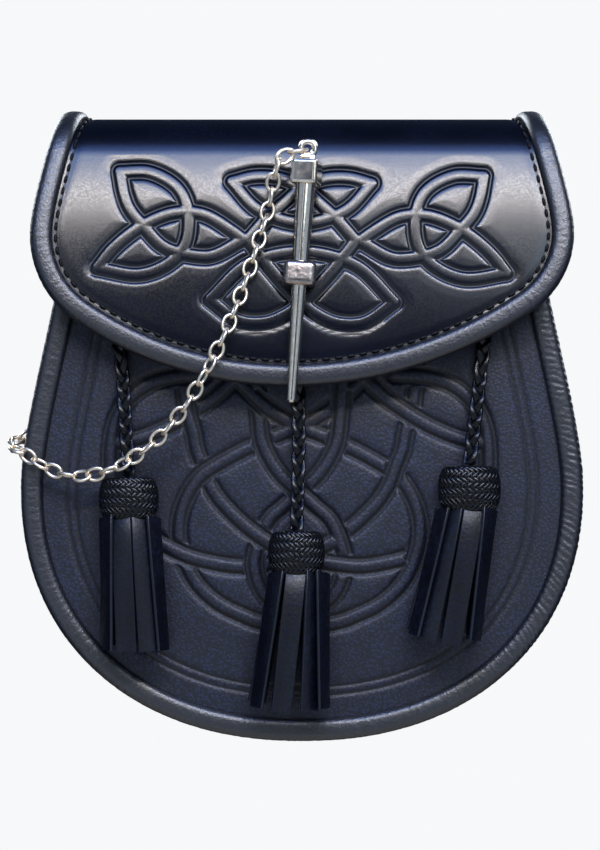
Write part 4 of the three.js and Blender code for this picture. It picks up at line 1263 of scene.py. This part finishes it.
def lines_mesh(name, lines, facings, sizes=None):
    """Polylines with the direction that each point's lace faces, and its size."""
    mesh = bpy.data.meshes.new(name)
    points = np.concatenate(lines) * MM
    edges, start = [], 0
    for line in lines:
        edges.extend((start + i, start + i + 1) for i in range(len(line) - 1))
        start += len(line)
    mesh.from_pydata(points.tolist(), edges, [])
    keep_vectors(mesh, "facing", np.concatenate(facings))
    kept = mesh.attributes.new("size", "FLOAT", "POINT")
    kept.data.foreach_set("value", np.concatenate(sizes) if sizes else np.ones(len(points)))
    return mesh


def knob_middle(knob):
    """The middle of a knob that lies against the front panel."""
    return np.array([knob[0], panel_face(*knob) - GAP - KNOB_DEPTH / 2, knob[1]])


def cord_way(way, knob, height):
    """The thong's way: out of the leather, then down to the knob's top."""
    knob_y, top = knob_middle(knob)[1], knob[1] + height / 2 + GAP
    (out_x, out_z), face = way[0], panel_face(*way[0]) - GAP
    points = [(out_x, face, out_z + THONG_IN_UP), (out_x, face - THONG_OUT, out_z + THONG_OUT_UP)]
    for x, z in way:
        hang = (z - out_z) / (top - out_z)
        near = panel_face(x, z) - GAP - CORD_D / 2
        points.append((x, near + (knob_y - near) * hang**2, z))
    return spline([*points, (knob[0], knob_y, top)], 0.5)


def plait(name, line):
    """Three laces plaited along a line, each turned outward where it is at the side."""
    along = unit(np.gradient(line, axis=0))
    across = unit(np.array([1.0, 0, 0]) - along * along[:, :1])
    over = np.cross(across, along)
    run = run_along(line)
    laces, facings = [], []
    for strand in range(3):
        phase = 2 * math.pi * (run / PLAIT_PITCH + strand / 3) + wander(run, *PLAIT_UNEVEN)
        side, depth = PLAIT_SIDE * np.sin(phase), PLAIT_DEPTH * np.sin(2 * phase)
        laces.append(line + across * side[:, None] + over * depth[:, None])
        facings.append(over + across * (PLAIT_FACING * np.sin(phase))[:, None])
    return grow(lines_mesh(name, laces, facings), lace, name, Width=LACE_W * MM,
                Thickness=LACE_THICK * MM, Material=thong)


def knob_surface(turn, height, width, tall, out):
    """Places on the knob's round: turn about it, height from -1 to 1, and the outward way."""
    lift = np.clip(height, -1, 1)
    girth = np.sqrt(1 - KNOB_TAPER * np.abs(lift) ** TAPER_POWER)
    point = np.stack([np.cos(turn) * girth * width / 2, np.sin(turn) * girth * KNOB_DEPTH / 2,
                      lift * tall / 2], -1)
    outward = unit(np.stack([np.cos(turn) * KNOB_DEPTH / width, np.sin(turn),
                             KNOB_CROWN * lift], -1))
    return point + outward * np.asarray(out)[..., None], outward


def woven_knob(name, centre, width, height):
    """A knob of one long lace that winds from rim to rim, over two turns and under two."""
    swing = np.linspace(0, 2 * math.pi * KNOB_SWINGS, KNOB_SWINGS * SWING_POINTS + 1)
    turn = swing * KNOB_TURNS / KNOB_SWINGS
    rise = KNOB_TALL * np.arcsin(SWING_SHARP * np.cos(swing)) / math.asin(SWING_SHARP)
    rise = rise + wander(np.stack([np.cos(turn), np.sin(turn), rise], 1), *KNOB_UNEVEN)
    row = KNOB_TURNS * np.arccos(np.clip(np.cos(swing), -1, 1)) / math.pi
    over = np.sign(np.sin(swing)) * np.sin(math.pi * (row - 0.5) / 2)
    over = over * np.clip(np.minimum(row, KNOB_TURNS - row) / RIM_FADE, 0, 1)
    place, outward = knob_surface(turn, rise, width, height, KNOB_WEAVE * over - KNOB_SUNK)
    return grow(lines_mesh(name, [place + centre], [outward]), lace, name,
                Width=KNOB_LACE * MM, Thickness=KNOB_LACE * KNOB_LACE_FLAT * MM, Material=thong)


def knob_core(name, centre, width, height):
    """The ball that the knob is woven over."""
    turn, rise = np.meshgrid(np.linspace(0, 2 * math.pi, 33)[:-1],
                             np.linspace(-CORE_TALL, CORE_TALL, 13))
    inward = np.full(turn.shape, -KNOB_CORE)
    return loft(name, knob_surface(turn, rise, width, height, inward)[0] + centre)


def fringe_strips(name, spec):
    """Flat strips that hang side by side under the knob, bent outward where they leave it, and
    twisted a little, each by its own. The back layer is narrower and shorter than the front."""
    base = knob_middle(spec["knob"]) + (0, 0, FRINGE_UP - spec["height"] / 2)
    lines, facings, sizes = [], [], []
    for side in (-1, 1):
        for number, (left, right, foot_left, foot_right, length) in enumerate(spec["strips"]):
            if side > 0:
                left, right = FRINGE_NARROWER * left, FRINGE_NARROWER * right
                length = FRINGE_SHORTER * length
            drop = np.linspace(0, length, 25)
            part = drop / length
            near, far = left + (foot_left - left) * part, right + (foot_right - right) * part
            middle, width = (near + far) / 2, far - near
            edge = max(abs(left), abs(right), spec["width"] * FRINGE_ROUND)
            turn = math.asin(np.clip((left + right) / 2 / edge, -MOST_TURN, MOST_TURN))
            bend = FRINGE_OUT * (1 - np.exp(-drop / FRINGE_BEND))
            deep = (KNOB_DEPTH * FRINGE_DEEP + bend) * math.cos(turn)
            lines.append(np.stack([middle, side * deep, -drop], 1) + base)
            twist = turn + STRIP_TWIST * part * math.sin(TWIST_CHANGE * number + side)
            facings.append(np.stack([np.sin(twist), side * np.cos(twist),
                                     STRIP_FLARE * np.exp(-drop / FLARE_DROP)], 1))
            sizes.append(width / STRIP_W * STRIP_SWELL / max(math.cos(turn), 0.8))
    return grow(lines_mesh(name, lines, facings, sizes), strip_lace, name, Width=STRIP_W * MM,
                Thickness=STRIP_THICK * MM, Material=strip_leather)


thong = leather("black thong", (0.001, 0.0015, 0.0035), (0.0025, 0.003, 0.007),
                roughness=0.26, bump=0.2, pebbles=1800.0, shine=0.35)
strip_leather = leather("fringe leather", (0.0018, 0.003, 0.0095), (0.006, 0.0095, 0.024),
                        roughness=0.34, bump=0.5, pebbles=700.0, shine=0.35)
tint(strip_leather, "cut", LIGHTER_EDGE_FROM, LIGHTER_EDGE_TO, 0.8, (0.010, 0.013, 0.019))
for side, spec in TASSELS.items():
    line = cord_way(spec["way"], spec["knob"], spec["height"])
    cord = fit(plait(f"thong_{side}", line), thong, "thong", f"tassel_cord_{side}")
    ball = (knob_middle(spec["knob"]), spec["width"], spec["height"])
    knob = fit(woven_knob(f"woven_knob_{side}", *ball), thong, "thong", f"tassel_knot_{side}")
    core = fit(knob_core(f"knob_core_{side}", *ball), thong, "thong")
    fringe = fit(fringe_strips(f"fringe_{side}", spec), strip_leather, "fringe",
                 f"tassel_fringe_{side}")

# ---------------------------------------------------------------- the stage, lights and camera
# A pale paper backdrop, which is a floor under the pouch and sweeps up behind it, soft boxes
# all round, and a long lens. Sizes in this section are in metres.

# The backdrop's front edge, its floor, its wall, the sweep between them, its top and half width
STAGE_Y, FLOOR_Z, WALL_Y, SWEEP_R, WALL_TOP, STAGE_HALF = -6.0, -0.42, 4.2, 0.8, 5.0, 7.0
PALE = (0.93, 0.94, 0.95, 1)
backdrop_line = [(STAGE_Y, FLOOR_Z), (WALL_Y - SWEEP_R, FLOOR_Z)]
for angle in np.linspace(0, math.pi / 2, 17)[1:]:
    backdrop_line.append((WALL_Y - SWEEP_R + SWEEP_R * math.sin(angle),
                          FLOOR_Z + SWEEP_R - SWEEP_R * math.cos(angle)))
backdrop_line.append((WALL_Y, WALL_TOP))
stage_points = [(x, y, z) for y, z in backdrop_line for x in (-STAGE_HALF, STAGE_HALF)]
number = 2 * np.arange(len(backdrop_line) - 1)
stage = new_piece("backdrop", np.array(stage_points) / MM,
                  np.stack([number, number + 1, number + 3, number + 2], 1))
paper, paper_tree, paper_shader = new_material("pale backdrop")
paper_tree.nodes.remove(paper_shader)
glow = add(paper_tree, "ShaderNodeEmission", {"Color": PALE, "Strength": 1.0})
paper_tree.links.new(glow.outputs[0], paper_tree.nodes["Material Output"].inputs["Surface"])
stage.data.materials.append(paper)
stage.visible_diffuse = False
stage.visible_glossy = False
stage.visible_shadow = False

world = bpy.data.worlds.new("studio")
bpy.context.scene.world = world
world.use_nodes = True
sky = world.node_tree
seen = add(sky, "ShaderNodeLightPath").outputs["Is Camera Ray"]
dim = (0.02, 0.03, 0.06, 1)
sky.links.new(mix(sky, seen, dim, PALE), sky.nodes["Background"].inputs["Color"])

LIT_PLACE = Vector((0, -0.03, -0.05))  # what the soft boxes are aimed at
# Each soft box: how bright its face is, its angles up and to the right, distance, size, colour
SOFTBOXES = {
    "key": (40, 37.5, 11, 1.35, (1.3, 0.11), (1.0, 0.94, 0.90)),
    "upper": (9.2, 45.5, 0, 1.5, (1.6, 0.28), (0.29, 0.5, 1.0)),
    "high": (4.0, 57, 0, 1.5, (1.6, 0.34), (0.14, 0.3, 1.0)),
    "left": (0.45, 0, -52, 1.5, (1.2, 1.5), (0.62, 0.78, 1.0)),
    "right": (0.45, 0, 52, 1.5, (1.2, 1.5), (0.62, 0.78, 1.0)),
    "left strip": (1.0, 0, -17, 1.5, (0.18, 1.2), (0.86, 0.92, 1.0)),
    "left wing": (0.5, -8, -30, 1.5, (0.4, 0.9), (0.66, 0.8, 1.0)),
    "right strip": (0.7, 0, 15, 1.5, (0.13, 1.2), (0.86, 0.92, 1.0)),
    "right wing": (0.5, -8, 30, 1.5, (0.4, 0.9), (0.66, 0.8, 1.0)),
    "low strip": (0.45, -20, 0, 1.5, (1.0, 0.2), (0.66, 0.8, 1.0)),
    "low": (0.45, -36, 0, 0.9, (1.4, 0.4), (0.68, 0.82, 1.0)),
    "low right": (3.3, 22, 16, 1.5, (0.5, 0.42), (0.7, 0.84, 1.0)),
    "floor": (0.5, -78, 0, 0.9, (1.5, 1.5), (1.0, 0.97, 0.93)),
    "back left": (9, 28, -142, 1.5, (0.8, 0.8), (0.85, 0.92, 1.0)),
    "back right": (9, 28, 142, 1.5, (0.8, 0.8), (0.85, 0.92, 1.0)),
}
for name, (brightness, height, side, far, size, colour) in SOFTBOXES.items():
    lamp = bpy.data.lights.new(name, "AREA")
    lamp.shape, lamp.size, lamp.size_y = "RECTANGLE", *size
    lamp.energy, lamp.color = brightness * math.pi * size[0] * size[1], colour
    piece = bpy.data.objects.new(name, lamp)
    bpy.context.collection.objects.link(piece)
    up, right = math.radians(height), math.radians(side)
    away = Vector((math.sin(right) * math.cos(up), -math.cos(right) * math.cos(up), math.sin(up)))
    piece.location = away * far + LIT_PLACE
    piece.rotation_euler = away.to_track_quat("Z", "Y").to_euler()

# The camera's place, and half the width of the view at one metre
CAMERA_PLACE, VIEW_HALF = (-0.00069, -2.0, -0.0609), 0.0746
camera_data = bpy.data.cameras.new("camera")
camera_data.lens = camera_data.sensor_width / 2 / VIEW_HALF
camera_data.clip_end = 30
camera = bpy.data.objects.new("camera", camera_data)
bpy.context.collection.objects.link(camera)
camera.location = CAMERA_PLACE
camera.rotation_euler = (math.pi / 2, 0, 0)
bpy.context.scene.camera = camera
bpy.context.scene.view_settings.view_transform = "Standard"
